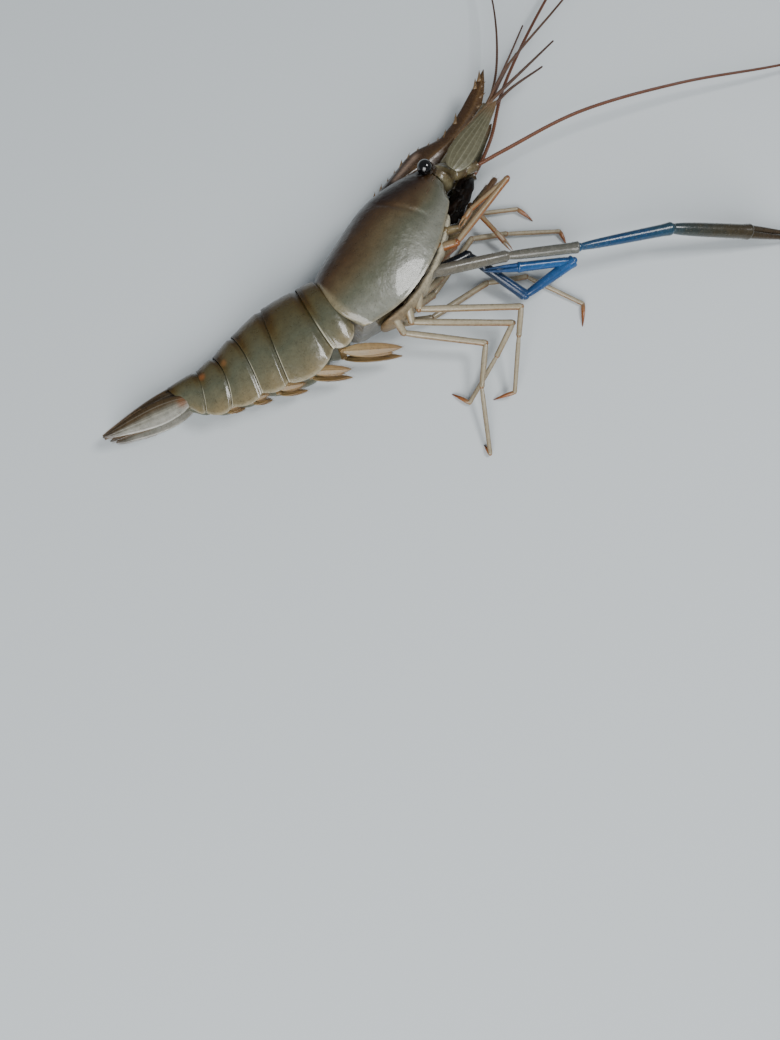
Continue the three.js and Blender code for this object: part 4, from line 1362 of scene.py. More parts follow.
@dataclass(frozen=True)
class Whip:
    """One feeler lash."""

    # Spots in millimetres, the radii at root and tip, the joints' length and the share that a ring adds.
    path: Sequence[Sequence[float]]
    radii: tuple[float, float]
    joint: float = 0.9
    ring: float = 0.07

    def line(self) -> np.ndarray:
        """Reads a smooth line through the path.

        Returns:
            Points in millimetres.
        """
        spots = np.array(self.path, float)
        reach = np.concatenate([[0], np.cumsum(np.sqrt(np.linalg.norm(np.diff(spots, axis=0), axis=1)))])
        place = np.linspace(0, reach[-1], LASH_POINTS)
        return np.stack([
            smooth(np.column_stack([reach, spots[:, axis]]), place, overshoot=True) for axis in range(3)
        ], axis=-1)

    def grow(self, tree: bpy.types.NodeTree, paint: bpy.types.Material) -> bpy.types.Mesh:
        """Makes the lash's mesh.

        Args:
            tree: the tree that grows it.
            paint: its material.

        Returns:
            The mesh, in metres.
        """
        line = self.line() * MM
        long = float(np.linalg.norm(np.diff(line, axis=0), axis=1).sum())
        mesh = bpy.data.meshes.new("lash_line")
        mesh.from_pydata(line.tolist(), [(i, i + 1) for i in range(len(line) - 1)], [])
        joint = self.joint * MM
        return grow(mesh, tree, {
            "Joint Length": joint, "Steps": int(JOINT_STEPS * long / joint), "Ring Height": self.ring,
            "Root Radius": self.radii[0] * MM, "Tip Radius": self.radii[1] * MM, "Material": paint,
        })


def joined(meshes: Sequence[bpy.types.Mesh]) -> bpy.types.Mesh:
    """Puts several meshes with paint marks into one.

    Args:
        meshes: the meshes.

    Returns:
        One mesh, with the marks of them all.
    """
    points, faces, marks, count = [], [], [], 0
    for mesh in meshes:
        spots = np.empty(len(mesh.vertices) * 3)
        mesh.vertices.foreach_get("co", spots)
        signs = np.empty(len(mesh.vertices) * 3)
        mesh.attributes[MARKS].data.foreach_get("vector", signs)
        faces += [tuple(v + count for v in face.vertices) for face in mesh.polygons]
        points.append(spots.reshape(-1, 3))
        marks.append(signs)
        count += len(mesh.vertices)
    whole = bpy.data.meshes.new("joined")
    whole.from_pydata(np.concatenate(points).tolist(), [], faces)
    whole.attributes.new(MARKS, "FLOAT_VECTOR", "POINT").data.foreach_set("vector", np.concatenate(marks))
    return whole


@dataclass
class Feelers:
    """The antennules with three lashes each, the long antennae, and the scales beside them."""

    whips: bpy.types.NodeTree
    spines: bpy.types.NodeTree
    # The joints of the right antennule's stem and of the right antenna's stem.
    peduncle: Sequence[Spot] = ((55.5, 3.0, 2.0), (67, 3.4, 2.6), (81, 4.6, 2.9))
    base: Sequence[Spot] = ((55.0, -1.6, 4.2), (62.7, -5.0, 2.2))
    lashes: dict[Side, Sequence[Whip]] = field(default_factory=lambda: {
        Side.RIGHT: (
            Whip(((73.3, 21.2, 14.4), (93.8, 24.1, 13)), (0.65, 0.3)),
            Whip(((74.2, 25.4, 15), (98, 31, 14.4), (121.6, 36.5, 12), (141, 38, 7)), (0.5, 0.22)),
            Whip(((72, 24.4, 17.4), (86, 31.5, 18.6)), (0.5, 0.25)),
        ),
        Side.LEFT: (
            Whip(((72, 21.2, 10.4), (88, 21.6, 8.6)), (0.65, 0.3)),
            Whip(((74, 29, 11), (91.1, 49.8, 9), (99, 66, 6)), (0.5, 0.22)),
            Whip(((72, 25.0, 10.6), (84, 30.4, 9.4)), (0.5, 0.25)),
        ),
    })
    antennae: dict[Side, Whip] = field(default_factory=lambda: {
        Side.RIGHT: Whip(
            (
                (56, 5.1, 12.8), (84, 0.2, 12), (118, -11.8, 9), (151.5, -27, 5), (186, -41, 1.6),
                (222, -47, 0.35),
            ),
            (0.62, 0.26),
        ),
        Side.LEFT: Whip(
            (
                (57.6, 12.6, 8.7), (74, 24.6, 7.6), (104.8, 39.8, 6), (140, 53, 4), (182, 62, 1.2),
                (214, 63, 0.35),
            ),
            (0.62, 0.26),
        ),
    })
    # The right antennal scale from root to tip, and how far its width leans out.
    scale: Sequence[Spot] = ((54.6, -1.2, 7.1), (82.5, 2.2, 5.4))
    scale_tilt: float = 0.2
    scale_half: float = 4.3
    scale_thick: float = 1.0

    def build(self) -> None:
        """Makes all feelers and scales of both sides."""
        dark, red, shell, stem, seta = [
            finish.paint() for finish in (DARK_FEELER_SHELL, FEELER_SHELL, THIN_SHELL, STEM_SHELL, SETA_SHELL)
        ]
        for side in Side:
            self.antennule(side, stem, dark)
            self.antenna(side, stem, red)
            self.fin(side, shell, seta)

    def antennule(self, side: Side, stem: bpy.types.Material, paint: bpy.types.Material) -> None:
        """Makes one antennule: a stem of two segments and its lashes.

        Args:
            side: its side.
            stem: the stem's material.
            paint: the lashes' material.
        """
        root, elbow, end = [HEAD.at(u, v, side.value * w) for u, v, w in self.peduncle]
        skin = Skin()
        limb(skin, root, elbow, SEGMENT_FORM, 1.7, 1.85, tone=(0.2, 0.7), sides=24)
        limb(skin, elbow, end, SEGMENT_FORM, 1.35, 1.2, tone=(0.2, 0.7), sides=24)
        start = elbow + (end - elbow) * 0.8
        whips = [Whip([start, end, *lash.path], lash.radii, 0.7, 0.08) for lash in self.lashes[side]]
        meshes = [whip.grow(self.whips, paint) for whip in whips]
        skin.finish(f"antennule_stem_{side.word}", stem, "feeler", [f"antennule_{side.word}"])
        dress(joined(meshes), f"antennule_lashes_{side.word}", paint, "feeler")

    def antenna(self, side: Side, stem: bpy.types.Material, paint: bpy.types.Material) -> None:
        """Makes one antenna: a stem of two segments and its long lash.

        Args:
            side: its side.
            stem: the stem's material.
            paint: the lash's material.
        """
        root, end = [HEAD.at(u, v, side.value * w) for u, v, w in self.base]
        skin = Skin()
        middle = root + (end - root) * 0.45
        limb(skin, root, middle, SEGMENT_FORM, 2.25, 2.1, tone=(0.5, 0.9), sides=28)
        limb(skin, middle, end, SEGMENT_FORM, 1.8, 1.6, tone=(0.3, 0.9), sides=28)
        skin.finish(f"antenna_stem_{side.word}", stem, "shell_brown", [f"antenna_base_{side.word}"])
        lash = self.antennae[side]
        start = root + (end - root) * 0.85
        mesh = Whip([start, end, *lash.path], lash.radii).grow(self.whips, paint)
        dress(joined([mesh]), f"antenna_lash_{side.word}", paint, "feeler", [f"antenna_{side.word}"])

    def fin(self, side: Side, paint: bpy.types.Material, seta: bpy.types.Material) -> None:
        """Makes one antennal scale with the fringe along the edge nearer to the back.

        Args:
            side: its side.
            paint: its material.
            seta: the fringe's material.
        """
        root, tip = [HEAD.at(u, v, side.value * w) for u, v, w in self.scale]
        wide = HEAD.back + np.array([0, 0, self.scale_tilt * side.value])
        skin = Skin()
        blade(
            skin, root, tip, wide, self.scale_half, self.scale_thick, SCALE_FORM, tone=(0.1, 0.45), rise=0.12,
            tip=0.8, rib=0.16, sides=64, rings=80,
        )
        skin.finish(f"antennal_scale_{side.word}", paint, "shell_grey", [f"antenna_scale_{side.word}"])
        fringe = Spines(self.spines)
        places = np.linspace(0.3, 0.97, 90)
        fringe.fringe(root, tip, wide, self.scale_half, SCALE_FORM, places, lean=(1.3, 0.7), ways=(1,))
        fringe.finish(f"scale_fringe_{side.word}", seta, "shell_grey", width=0.035, bend=0.1, faces=4)


@dataclass(frozen=True)
class Seam:
    """A seam between two abdomen plates: spots on the back, side and lower edge, half width and height."""

    back: tuple[float, float]
    side: tuple[float, float]
    low: tuple[float, float]
    half: float
    z: float


@dataclass
class Abdomen:
    """The six overlapping abdomen plates."""

    seams: Sequence[Seam] = (
        Seam((-18.0, 8.7), (-19.2, -3.0), (-18.6, -12.0), 10.4, 11.6),
        Seam((-23.9, 10.4), (-26.9, -3.0), (-27.6, -13.4), 10.8, 10.9),
        Seam((-35.7, 12.6), (-40.5, -1.0), (-44.2, -12.8), 10.4, 10.3),
        Seam((-48.3, 12.0), (-48.8, 2.2), (-52.0, -9.6), 9.0, 9.0),
        Seam((-56.5, 11.3), (-56.8, 2.5), (-61.2, -6.2), 7.5, 7.6),
        Seam((-62.6, 11.5), (-64.2, 5.0), (-68.4, -2.2), 6.3, 6.7),
        Seam((-73.0, 13.4), (-72.6, 8.8), (-71.4, 3.0), 5.0, 5.6),
    )
    # How far each plate hangs below its seams, and how much it bulges between them.
    drop: Sequence[float] = (2.4, 3.0, 1.2, 1.4, 1.4, 0.5)
    swell: float = 0.035
    channel: Rows = (
        (0.99, 0.64), (0.97, 0.57), (0.82, 0.5), (0.79, 0.0), (0.78, -0.5), (0.83, -0.6), (0.845, -0.66),
    )
    left_end: float = 0.85
    # Nearer to the middle than this share of the half width, a low point lies in the channel.
    inner: float = 0.66
    rings: int = 60
    steps: int = 44
    # How far a plate reaches over the next, as a share of its length.
    overlap: float = 0.045
    # Tones of what is hardly seen: the left side, and the channel, whose dark brown is painted shade.
    hidden_tone: float = 0.66
    painted_channel_shade: float = 0.15

    def spot(self, place: np.ndarray, h: np.ndarray) -> np.ndarray:
        """Gives places in the middle plane.

        Args:
            place: places along the abdomen, counted in seams.
            h: heights from the back (0) to the lower edge (1).

        Returns:
            Places in millimetres, at height 0 over the floor.
        """
        k = np.clip(np.floor(place).astype(int), 0, len(self.seams) - 2)
        t = place - k
        table = np.array([(seam.back, seam.side, seam.low) for seam in self.seams])
        found = []
        for axis in (0, 1):
            rows = table[..., axis].T
            back, side, low = [row[k] * (1 - t) + row[k + 1] * t for row in rows]
            found.append(back * (1 - h) * (1 - 2 * h) + side * 4 * h * (1 - h) + low * h * (2 * h - 1))
        return np.stack(np.broadcast_arrays(*found, 0.0), axis=-1)

    def plate(self, number: int) -> Skin:
        """Builds one plate; its rear edge lies over the front of the next.

        Args:
            number: the plate's number, from 1 at the carapace.

        Returns:
            The plate.
        """
        skin = Skin()
        k = number - 1
        last = number == len(self.seams) - 1
        t = np.linspace(0, 1.0 if last else 1 + self.overlap, self.rings)
        # The last three rings turn in under the rear edge, which gives it a thickness.
        t = np.concatenate([t, [t[-1] + 0.004, t[-1] - 0.012, t[-1] - 0.05]])[:, None]
        tuck = np.concatenate([np.zeros(self.rings), [0.012, 0.03, 0.05]])[:, None]
        h, share = outline(self.steps, self.channel, self.left_end)
        hill = np.sin(math.pi * np.clip(t, 0, 1))
        rim = 0.012 * ease(t, 0.9, 0.96)
        size = 0.93 + 0.07 * ease(t, 0.0, 0.2) + self.swell * hill + rim - tuck
        place = k + t
        half, z = [
            smooth([(i, getattr(seam, name)) for i, seam in enumerate(self.seams)], place)
            for name in ("half", "z")
        ]
        down = unit(self.spot(place, np.ones_like(t)) - self.spot(place, np.zeros_like(t)))
        reach = self.drop[k] * hill**0.7 - (1 - size) * 6
        rings = self.spot(place, np.broadcast_to(h, (len(t), len(h))))
        rings = rings + down * (h * reach - (1 - h) * (size - 1) * 8)[..., None]
        rings[..., 2] = z + half * size * share
        # Both ends draw in a little along the plate, so that it keeps clear of its neighbours.
        along = np.stack([down[..., 1], -down[..., 0], 0 * down[..., 0]], axis=-1)
        rings += along * (0.26 - 0.5 * ease(t, 0.0, 1.0))[..., None]
        # Dark bands at both ends of the back, a paler middle, and pale rims at the rear and the lower edge.
        dark = 0.2 * bump(t, 0.98, 0.14) + 0.12 * bump(t, 0.1, 0.1)
        tone = 0.04 + 0.9 * h - dark * (1 - ease(h, 0.35, 0.7)) + 0.08 * bump(t, 0.5, 0.3)
        edge = 0.6 * ease(t, 1.015, 1.03) * ease(h, 0.5, 0.72) + 0.3 * ease(h, 0.95, 1.0)
        # Towards the channel the colours give way to a dark painted shade.
        near = 1 - np.where(share < 0, ease(h, 0.55, 0.78), (h > 0.75) * (share < self.inner))
        shade = np.where(share < 0, self.hidden_tone, self.painted_channel_shade)
        skin.loft(rings, marked(np.clip(edge * near, 0, 1), h, np.clip(shade + (tone - shade) * near, 0, 1)))
        return skin

    def build(self) -> None:
        """Makes the six plates."""
        paint = ABDOMEN_SHELL.paint()
        for number in range(1, len(self.seams)):
            self.plate(number).finish(f"abdomen_plate_{number}", paint, "shell_grey", [f"abdomen_{number}"])


def step(start: np.ndarray, long: float, way: float, high: float) -> np.ndarray:
    """Gives the end of a segment.

    Args:
        start: its start, in millimetres.
        long: its length.
        way: the direction it points in, in degrees from +X towards +Y.
        high: the height at which it ends.

    Returns:
        Its end.
    """
    turn = math.radians(way)
    flat = math.sqrt(max(long**2 - (high - start[2]) ** 2, 0.01))
    return np.array([start[0] + flat * math.cos(turn), start[1] + flat * math.sin(turn), high])


@dataclass
class SwimmingLegs:
    """The pairs of swimming legs: a short stem and two fringed blades under each abdomen plate."""

    abdomen: Abdomen
    spines: bpy.types.NodeTree
    # Directions of blades and stems in degrees, lengths and half widths, and places counted in seams.
    way: Sequence[float] = (-36.5, -38, -32, -28, -25)
    stem: Sequence[float] = (5.8, 4.3, 3.7, 3.4, 2.8)
    stem_way: float = -110
    long: Sequence[float] = (17.6, 12.1, 8.6, 5.8, 5.4)
    half: Sequence[float] = (1.9, 1.5, 1.4, 1.2, 1.0)
    place: Sequence[float] = (0.5, 1.5, 2.45, 3.45, 4.45)
    # Height on the plate, and share of the half width, at which a leg hangs.
    root: float = 0.79
    w: float = 0.24
    thick: float = 0.8
    # Turn, rise and size of the front and the rear blade.
    blades: Sequence[Spot] = ((0, 0.4, 1), (-4, -1.1, 0.84))

    def build(self) -> None:
        """Makes the legs and their fringes."""
        paint, seta = SWIM_SHELL.paint(), SETA_SHELL.paint()
        fringe = Spines(self.spines)
        for k in range(len(self.way)):
            for side in Side:
                skin = self.leg(k, side, fringe)
                name = f"swimming_leg_{k + 1}_{side.word}"
                skin.finish(f"swimmer_{k + 1}_{side.word}", paint, "shell_pale", [name])
        fringe.finish("swimmer_fringes", seta, "shell_pale", width=0.03, bend=0.12, faces=4)

    def leg(self, k: int, side: Side, fringe: Spines) -> Skin:
        """Builds one leg and adds its fringe.

        Args:
            k: the number of its pair, from 0.
            side: its side.
            fringe: the setae that its fringe is added to.

        Returns:
            The leg.
        """
        skin = Skin()
        front, rear = self.abdomen.seams[k:k + 2]
        root = self.abdomen.spot(np.array(self.place[k]), np.array(self.root))
        root[2] = (front.z + rear.z) / 2 + side.value * (front.half + rear.half) / 2 * self.w
        knee = step(root, self.stem[k], self.stem_way, root[2] + 0.6 * side.value)
        limb(skin, root, knee, SEGMENT_FORM, 1.15, 1.0, tone=(0.0, 0.4))
        wide = (0.5, 1, 0.5 * side.value)
        places = np.linspace(0.35, 1.0, 26)
        for turn, rise, size in self.blades:
            tip = step(knee, self.long[k] * size, self.way[k] + turn, knee[2] + rise * side.value)
            half = self.half[k] * size
            blade(skin, knee, tip, wide, half, self.thick, SWIM_FORM, tone=(0.15, 0.6), rib=0.12)
            fringe.fringe(knee, tip, wide, half, SWIM_FORM, places, lean=(1.0, 0.5))
        return skin


@dataclass(frozen=True)
class Plate:
    """One plate of the tail fan, in millimetres."""

    start: Spot
    end: Spot
    wide: Spot
    half: float
    thick: float
    tone: tuple[float, float]
    rise: float
    rib: float = 0.16

    def build(self) -> Skin:
        """Builds the plate.

        Returns:
            The plate.
        """
        skin = Skin()
        blade(
            skin, np.array(self.start), np.array(self.end), self.wide, self.half, self.thick, TAIL_FORM,
            tone=self.tone, rise=self.rise, tip=0.9, rib=self.rib, sides=64, rings=80,
        )
        return skin


@dataclass
class TailFan:
    """The telson and the two plates on each side of it."""

    spines: bpy.types.NodeTree
    telson: Plate = Plate((-71.5, 12.2, 5.8), (-97, 13.9, 5.9), (0, 0.1, 1), 2.4, 3.6, (0.2, 0.7), 0.0, 0.0)
    plates: dict[str, Plate] = field(default_factory=lambda: {
        "outer_right": Plate(
            (-70.6, 5.0, 10.4), (-96, 12.2, 9.3), (0.2, 1, 0.2), 3.6, 1.0, (0.24, 0.44), 0.55,
        ),
        "inner_right": Plate((-71.2, 9.0, 9.0), (-97, 13.2, 7.9), (0.1, 1, 0.2), 2.5, 0.8, (0.62, 0.8), 0.1),
        "outer_left": Plate((-70.6, 6.2, 1.5), (-95.6, 12.6, 0.5), (0.2, 1, 0), 3.4, 1.0, (0.24, 0.44), 0.55),
        "inner_left": Plate((-71.2, 9.2, 2.8), (-96.6, 13.4, 2.1), (0.1, 1, 0), 2.5, 0.8, (0.62, 0.8), 0.1),
    })

    def build(self) -> None:
        """Makes the telson, the plates and their fringes."""
        self.telson.build().finish("telson_shell", TELSON_SHELL.paint(), "shell_brown", ["telson"])
        paint, seta = TAIL_SHELL.paint(), SETA_SHELL.paint()
        fringe = Spines(self.spines)
        places = np.linspace(0.5, 0.97, 60)
        for name, plate in self.plates.items():
            plate.build().finish(f"tail_blade_{name}", paint, "shell_grey", [f"tail_plate_{name}"])
            start, end = np.array(plate.start), np.array(plate.end)
            fringe.fringe(start, end, plate.wide, plate.half, TAIL_FORM, places, lean=(0.9, 0.5))
        fringe.finish("tail_fringes", seta, "shell_grey", width=0.035, bend=0.1, faces=4)


# How far below the shield's edge the limbs have their roots, in millimetres.
ROOT_DEPTH = 0.6


@dataclass(frozen=True)
class Walk:
    """A limb with its root under the chest."""

    u: float
    w: float
    radii: Sequence[float]
    rows: Sequence[Spot]

    def spots(self) -> list[np.ndarray]:
        """Finds the joints of the limb.

        Returns:
            Places in millimetres, the root first.
        """
        places, heights = np.array(Carapace.margin, float).T
        found = [HEAD.at(self.u, float(np.interp(self.u, places, heights)) - ROOT_DEPTH, self.w)]
        for row in self.rows:
            found.append(step(found[-1], *row))
        return found


# Radii of the walking legs' segments, which are the same in all of them.
WALKER = (1.3, 1.1, 0.95, 0.75, 0.7)


@dataclass
class WalkingLegs:
    """The small clawed legs, the three pairs of walking legs and the maxillipeds."""

    spines: bpy.types.NodeTree
    small_claws: dict[str, Walk] = field(default_factory=lambda: {
        "leg_1_right": Walk(
            33.5, 3.6, (1.4, 1.05, 0.85, 0.95),
            ((5.2, -36, 18), (24.3, 11, 22), (14, 178, 19.2), (7.1, -162, 18.8)),
        ),
        "leg_1_left": Walk(
            33.5, -3.6, (1.4, 1.05, 0.85, 0.95),
            ((7.9, 9, 6.2), (15.2, 29, 6.2), (11.6, -88, 5.6), (9, -84, 3)),
        ),
    })
    walkers: dict[str, Walk] = field(default_factory=lambda: {
        "leg_3_right": Walk(
            18.5, 3.4, WALKER,
            ((5.5, -131, 13.5), (31.1, -38, 13), (8.7, -134, 10.5), (17.1, -132, 3.5), (7.2, 152, 0.15)),
        ),
        "leg_3_left": Walk(
            21.5, -3.4, WALKER,
            ((8.9, 8, 6.2), (17.8, 37, 2.7), (8.4, 14, 2.2), (16.7, -31, 1.4), (6.4, -74, 0.1)),
        ),
        "leg_4_right": Walk(
            12.5, 3.4, WALKER,
            ((5.2, -111, 12.5), (31.3, -38, 9.5), (11.1, -157, 5.5), (16.5, -161, 1.2), (6.4, 109, 0.1)),
        ),
        "leg_4_left": Walk(
            15, -3.4, WALKER,
            ((10.9, 6, 3.9), (23.9, 18, 2.2), (11.6, -30, 1.8), (17.4, -36, 1.2), (4.7, -101, 0.1)),
        ),
        "leg_5_right": Walk(
            7, 3.4, WALKER,
            ((5.9, -87, 11.5), (25.3, -45, 9), (13.4, -135, 6), (20.7, -122, 1.2), (3.7, 79, 0.1)),
        ),
        "leg_5_left": Walk(
            8.5, -3.4, WALKER,
            ((11.7, -22, 5), (23, -3, 1.5), (13, -30, 1.3), (20.1, -67, 0.9), (7.4, -132, 0.1)),
        ),
    })
    maxillipeds: dict[str, Walk] = field(default_factory=lambda: {
        "maxilliped_right": Walk(
            38.5, 3.4, (1.4, 1.3, 1.35), ((5.1, -26, 15.4), (11.2, 16, 15.4), (9.1, 18, 15)),
        ),
        "maxilliped_left": Walk(
            38.5, -3.4, (1.4, 1.3, 1.35), ((5.9, -4, 9.6), (10.8, 19, 9.6), (7.8, 17, 9.4)),
        ),
    })

    def build(self) -> None:
        """Makes all the small limbs."""
        paint = LEG_SHELL.paint()
        for limbs, kind in ((self.walkers, self.walker), (self.small_claws, self.small_claw)):
            for name, walk in limbs.items():
                kind(walk).finish(f"{name}_shell", paint, "limb", [name])
        paint, seta = MAXILLIPED_SHELL.paint(), SETA_SHELL.paint()
        fringe = Spines(self.spines)
        for name, walk in self.maxillipeds.items():
            self.maxilliped(walk, fringe).finish(f"{name}_shell", paint, "limb", [name])
        fringe.finish("maxilliped_setae", seta, "limb", width=0.04, bend=0.1, faces=4)

    @staticmethod
    def chain(spots: Sequence[np.ndarray], radii: Sequence[float], tone: float) -> Skin:
        """Builds segments between joints, with a soft knuckle at each joint.

        Args:
            spots: the joints, in millimetres.
            radii: the radius of each segment.
            tone: the paint's tone, which rises a little along each segment and more at a knuckle.

        Returns:
            The segments.
        """
        skin = Skin()
        knuckle(skin, spots[0], radii[0] * 1.1, tone + 0.2)
        for radius, start, end in zip(radii, spots, spots[1:]):
            limb(
                skin, start, end, SEGMENT_FORM, radius, radius * 0.9, tone=(tone, tone + 0.12), edges=0.35,
                sides=24, rings=48,
            )
            knuckle(skin, end, radius * 0.8, tone + 0.4)
        return skin

    def walker(self, walk: Walk) -> Skin:
        """Builds a walking leg, which ends in a hooked brown dactyl.

        Args:
            walk: its joints and radii.

        Returns:
            The leg.
        """
        *joints, tip = walk.spots()
        skin = self.chain(joints, walk.radii, tone=0.2)
        radius = walk.radii[-1]
        limb(
            skin, joints[-1], tip, DACTYL_FORM, radius, radius * 0.6, tone=(0.55, 1.0), bow=(0, 0, 0.35),
            sides=24,
        )
        return skin

    def small_claw(self, walk: Walk) -> Skin:
        """Builds a slim first leg, which ends in a small pair of fingers.

        Args:
            walk: its joints and radii.

        Returns:
            The leg.
        """
        *joints, end = walk.spots()
        skin = self.chain(joints, walk.radii, tone=0.42)
        start = joints[-1]
        palm = start + (end - start) * 0.5
        side, _ = across(unit(end - start))
        limb(skin, start, palm, SEGMENT_FORM, walk.radii[3] * 0.9, walk.radii[3], tone=(0.45, 0.6), edges=0.2)
        for way in (-1, 1):
            root = palm + side * way * 0.42 - (end - start) * 0.03
            tip = end + side * way * 0.12
            limb(skin, root, tip, SPINE_FORM, 0.5, 0.12, tone=(0.5, 0.75), bow=side * way * 0.2)
        return skin

    def maxilliped(self, walk: Walk, fringe: Spines) -> Skin:
        """Builds one maxilliped and adds the setae of its blunt last segment.

        Args:
            walk: its joints and radii.
            fringe: the setae that its own are added to.

        Returns:
            The maxilliped.
        """
        *joints, tip = walk.spots()
        skin = self.chain(joints, walk.radii, tone=0.15)
        limb(skin, joints[-1], tip, BLUNT_FORM, walk.radii[2], 1.05, tone=(0.4, 0.95), sides=28)
        places = np.linspace(0.1, 1.0, 110)
        fringe.scatter(joints[-1], tip, places, np.full(len(places), 0.95), lean=(0.9, 0.45), seed=5)
        return skin


@dataclass
class Claw:
    """One long second leg with its claw, in four pieces: arm, wrist, palm and moving finger."""

    side: Side
    walk: Walk
    # Length, way and end height of the fingers.
    finger: Spot
    finger_radius: float
    # Tones at the start and end of arm, wrist, palm and fingers.
    tones: Sequence[tuple[float, float]]
    finish: Finish
    arm_slot: str
    # Distance between spinules, and places of the blunt teeth along a finger.
    spinule_gap: float = 0.55
    biters: Sequence[float] = (0.2, 0.34)

    def build(self, tree: bpy.types.NodeTree) -> None:
        """Makes the pieces and the spinules that stand on them.

        Args:
            tree: the tree that grows spinules.
        """
        paint = self.finish.paint()
        root, elbow, wrist_root, palm_root, hinge = self.walk.spots()
        tip = step(hinge, *self.finger)
        r0, r1, r2, r3 = self.walk.radii
        arm, wrist, palm, _ = self.tones
        middle = sum(arm) / 2
        word = self.side.word
        spinules = Spines(tree)
        skin = Skin()
        knuckle(skin, root, r0 * 1.1, arm[0])
        self.run(skin, spinules, root, elbow, (r0, r1), (arm[0], middle))
        knuckle(skin, elbow, r1 * 0.85, arm[0])
        self.run(skin, spinules, elbow, wrist_root, (r1 * 0.85, r1 * 1.02), (middle, arm[1]))
        skin.finish(f"claw_arm_{word}", paint, self.arm_slot, [f"claw_{word}_arm"])
        skin = Skin()
        knuckle(skin, wrist_root, r2 * 0.75, wrist[0])
        self.run(skin, spinules, wrist_root, palm_root, (r2 * 0.74, r2 * 1.05), wrist)
        skin.finish(f"claw_wrist_{word}", paint, "claw_blue", [f"claw_{word}_wrist"])
        skin = Skin()
        knuckle(skin, palm_root, r3 * 0.7, palm[0])
        self.run(skin, spinules, palm_root, hinge, (r3 * 0.85, r3), palm)
        self.digit(skin, hinge, tip, -1)
        skin.finish(f"claw_palm_{word}", paint, "claw_blue", [f"claw_{word}_palm"])
        skin = Skin()
        self.digit(skin, hinge, tip, 1)
        skin.finish(f"claw_finger_{word}", paint, "claw_navy", [f"claw_{word}_finger"])
        spinules.finish(f"claw_spinules_{word}", paint, "claw_blue", width=0.3, bend=0.1, faces=6)

    def digit(self, skin: Skin, hinge: np.ndarray, tip: np.ndarray, way: int) -> None:
        """Adds one finger with the two blunt teeth near the root of its biting edge.

        Args:
            skin: the skin that gets it.
            hinge: the end of the palm, in millimetres.
            tip: where the two fingers meet.
            way: -1 for the fixed finger, 1 for the moving one.
        """
        line = unit(tip - hinge)
        out = across(line)[0] * way
        radius, tone = self.finger_radius, self.tones[-1]
        root = hinge + out * (radius * 0.72) - line * radius
        limb(
            skin, root, tip + out * 0.25, FINGER_FORM, radius, 0.32, tone=tone, bow=out * radius * 0.22,
            sides=26, rings=60,
        )
        for place in self.biters:
            spot = root + (tip - root) * place - out * radius * 0.55
            limb(skin, spot, spot - out * radius * 0.55, SPINE_FORM, radius * 0.36, 0.1, tone=tone, rings=10)

    def run(
        self, skin: Skin, spinules: Spines, start: np.ndarray, end: np.ndarray, radii: tuple[float, float],
        tone: tuple[float, float],
    ) -> None:
        """Adds one segment with its spinules, which point to the claw's tip.

        Args:
            skin: the skin that gets the segment.
            spinules: the spines that get the spinules.
            start: the segment's start, in millimetres.
            end: its end.
            radii: its radius at the start and at the end.
            tone: the paint's tone at the start and at the end.
        """
        limb(skin, start, end, SEGMENT_FORM, *radii, tone=tone, sides=32, rings=70)
        places = np.arange(0.06, 0.95, self.spinule_gap / np.linalg.norm(end - start))
        out = (radii[0] + (radii[1] - radii[0]) * places) * smooth(SEGMENT_FORM, places) - 0.06
        spinules.scatter(start, end, places, out, lean=(0.34, 0.2), seed=11)


def claws() -> list[Claw]:
    """Lists the claws.

    Returns:
        The long pale-rooted right claw and the folded deep blue left one.
    """
    return [
        Claw(
            Side.RIGHT,
            Walk(
                25, 3.4, (1.9, 1.7, 1.85, 2.3),
                ((24.7, -24, 13.2), (21.9, -35, 15), (30.4, -26, 13), (27.8, -35, 7)),
            ),
            (25.1, -36, 0.15), 1.3, ((0.0, 0.2), (0.34, 0.5), (0.53, 0.7), (0.74, 1.0)), CLAW_SHELL, "limb",
        ),
        Claw(
            Side.LEFT,
            Walk(
                28, -2.2, (1.8, 1.7, 1.85, 1.6),
                ((13, -9, 8.6), (22, -72, 4.5), (18, -7, 9), (18.1, 149, 10)),
            ),
            # The left arm's low tones, near black, are painted shade under the body.
            (11, 148, 10.8), 0.85, ((0.0, 0.74), (0.74, 0.9), (0.95, 0.85), (0.85, 0.6)), DEEP_BLUE_CLAW_AND_SHADE,
            "claw_navy",
        ),
    ]


@dataclass(frozen=True)
class Lamp:
    """One square soft light: its name, its place and size in metres, and its power in watts."""

    name: str
    spot: Spot
    size: float
    power: float

    def hang(self) -> None:
        """Adds the light, which faces the middle of the animal."""
        light = bpy.data.lights.new(self.name, "AREA")
        light.size = self.size
        light.energy = self.power
        holder = bpy.data.objects.new(self.name, light)
        turn = (-Vector(self.spot)).to_track_quat("-Z", "Y").to_matrix().to_4x4()
        holder.matrix_world = Matrix.Translation(self.spot) @ turn
        bpy.context.scene.collection.objects.link(holder)


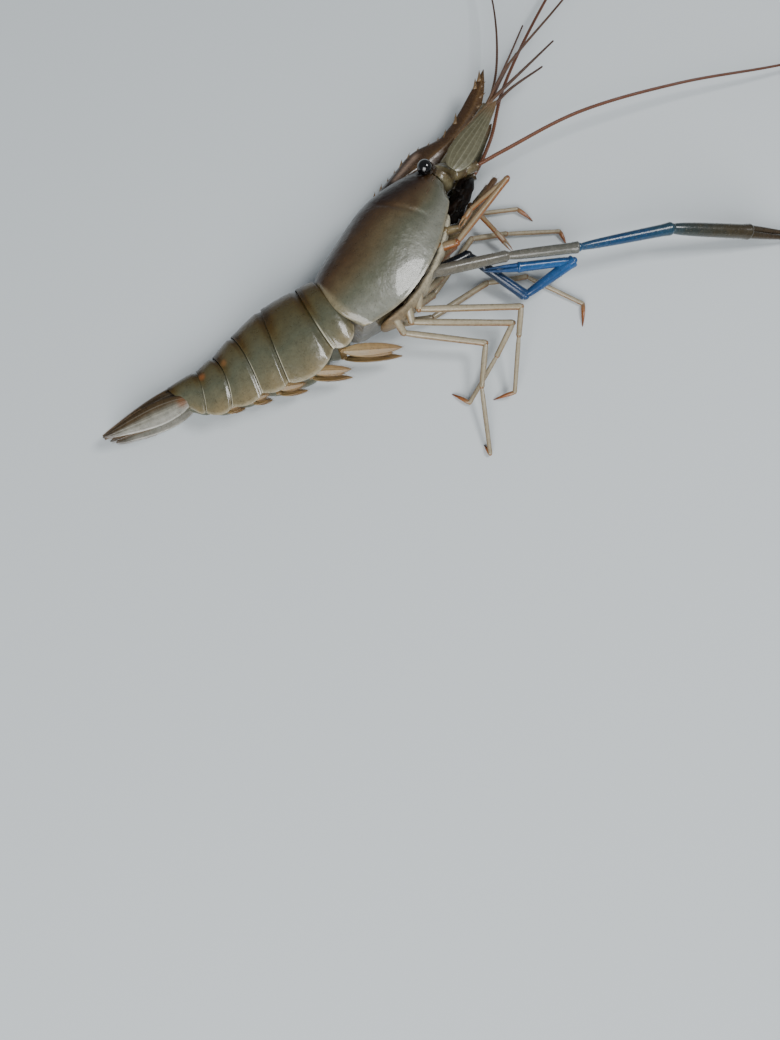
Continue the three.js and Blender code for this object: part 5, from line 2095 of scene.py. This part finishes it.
@dataclass
class Studio:
    """A plain pale floor, soft lights and the camera."""

    floor: str = "#c9d0d3"
    # Half the floor's width in metres.
    floor_reach: float = 1.6
    floor_rough: float = 0.7
    sky: str = "#dfe4ea"
    sky_power: float = 0.3
    lamps: Sequence[Lamp] = (
        Lamp("window", (0.36, -0.24, 0.72), 0.24, 3.5),
        Lamp("fill", (-0.8, -0.7, 0.75), 0.9, 21),
    )
    # The camera's place in millimetres, and the directions to the right of its picture and up it.
    eye: Spot = (-71.93, -91.44, 235.59)
    right: Spot = (0.766, -0.643, 0.0)
    up: Spot = (0.6336, 0.7551, 0.1685)
    lens: float = 27.03
    # Width of the camera's film in millimetres, and how near it sees, in metres.
    film: float = 36
    nearest: float = 0.01

    def build(self) -> None:
        """Makes the floor, the lights and the camera."""
        self.board()
        self.world()
        for lamp in self.lamps:
            lamp.hang()
        camera = bpy.data.objects.new("camera", bpy.data.cameras.new("camera"))
        camera.data.lens = self.lens
        camera.data.sensor_width = self.film
        camera.data.clip_start = self.nearest
        right, up = Vector(self.right), Vector(self.up)
        turn = Matrix((right, up, right.cross(up))).transposed()
        camera.matrix_world = Matrix.Translation(Vector(self.eye) * MM) @ turn.to_4x4()
        bpy.context.scene.collection.objects.link(camera)
        bpy.context.scene.camera = camera

    def board(self) -> None:
        """Makes the floor, a matt board that shows the shadows."""
        mesh = bpy.data.meshes.new("floor")
        reach = self.floor_reach
        mesh.from_pydata(
            [(-reach, -reach, 0), (reach, -reach, 0), (reach, reach, 0), (-reach, reach, 0)],
            [], [(0, 1, 2, 3)],
        )
        material = bpy.data.materials.new("matt_floor_board")
        material.use_nodes = True
        shader = material.node_tree.nodes["Principled BSDF"]
        shader.inputs["Base Color"].default_value = linear(self.floor)
        shader.inputs["Roughness"].default_value = self.floor_rough
        mesh.materials.append(material)
        floor = bpy.data.objects.new("floor", mesh)
        bpy.context.scene.collection.objects.link(floor)

    def world(self) -> None:
        """Makes an even pale surrounding light."""
        world = bpy.data.worlds.new("studio")
        world.use_nodes = True
        sky = world.node_tree.nodes["Background"]
        sky.inputs["Color"].default_value = linear(self.sky)
        sky.inputs["Strength"].default_value = self.sky_power
        bpy.context.scene.world = world


def main() -> None:
    """Builds the prawn and the studio."""
    logging.basicConfig(level=logging.INFO, format="%(name)s: %(message)s")
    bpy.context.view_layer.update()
    spines, whips = spine_tree(), whip_tree()
    abdomen = Abdomen()
    Carapace().build()
    Rostrum(spines).build()
    HeadFront().build()
    Feelers(whips, spines).build()
    abdomen.build()
    SwimmingLegs(abdomen, spines).build()
    TailFan(spines).build()
    WalkingLegs(spines).build()
    for claw in claws():
        claw.build(spines)
    Studio().build()


if __name__ == "__main__":
    main()
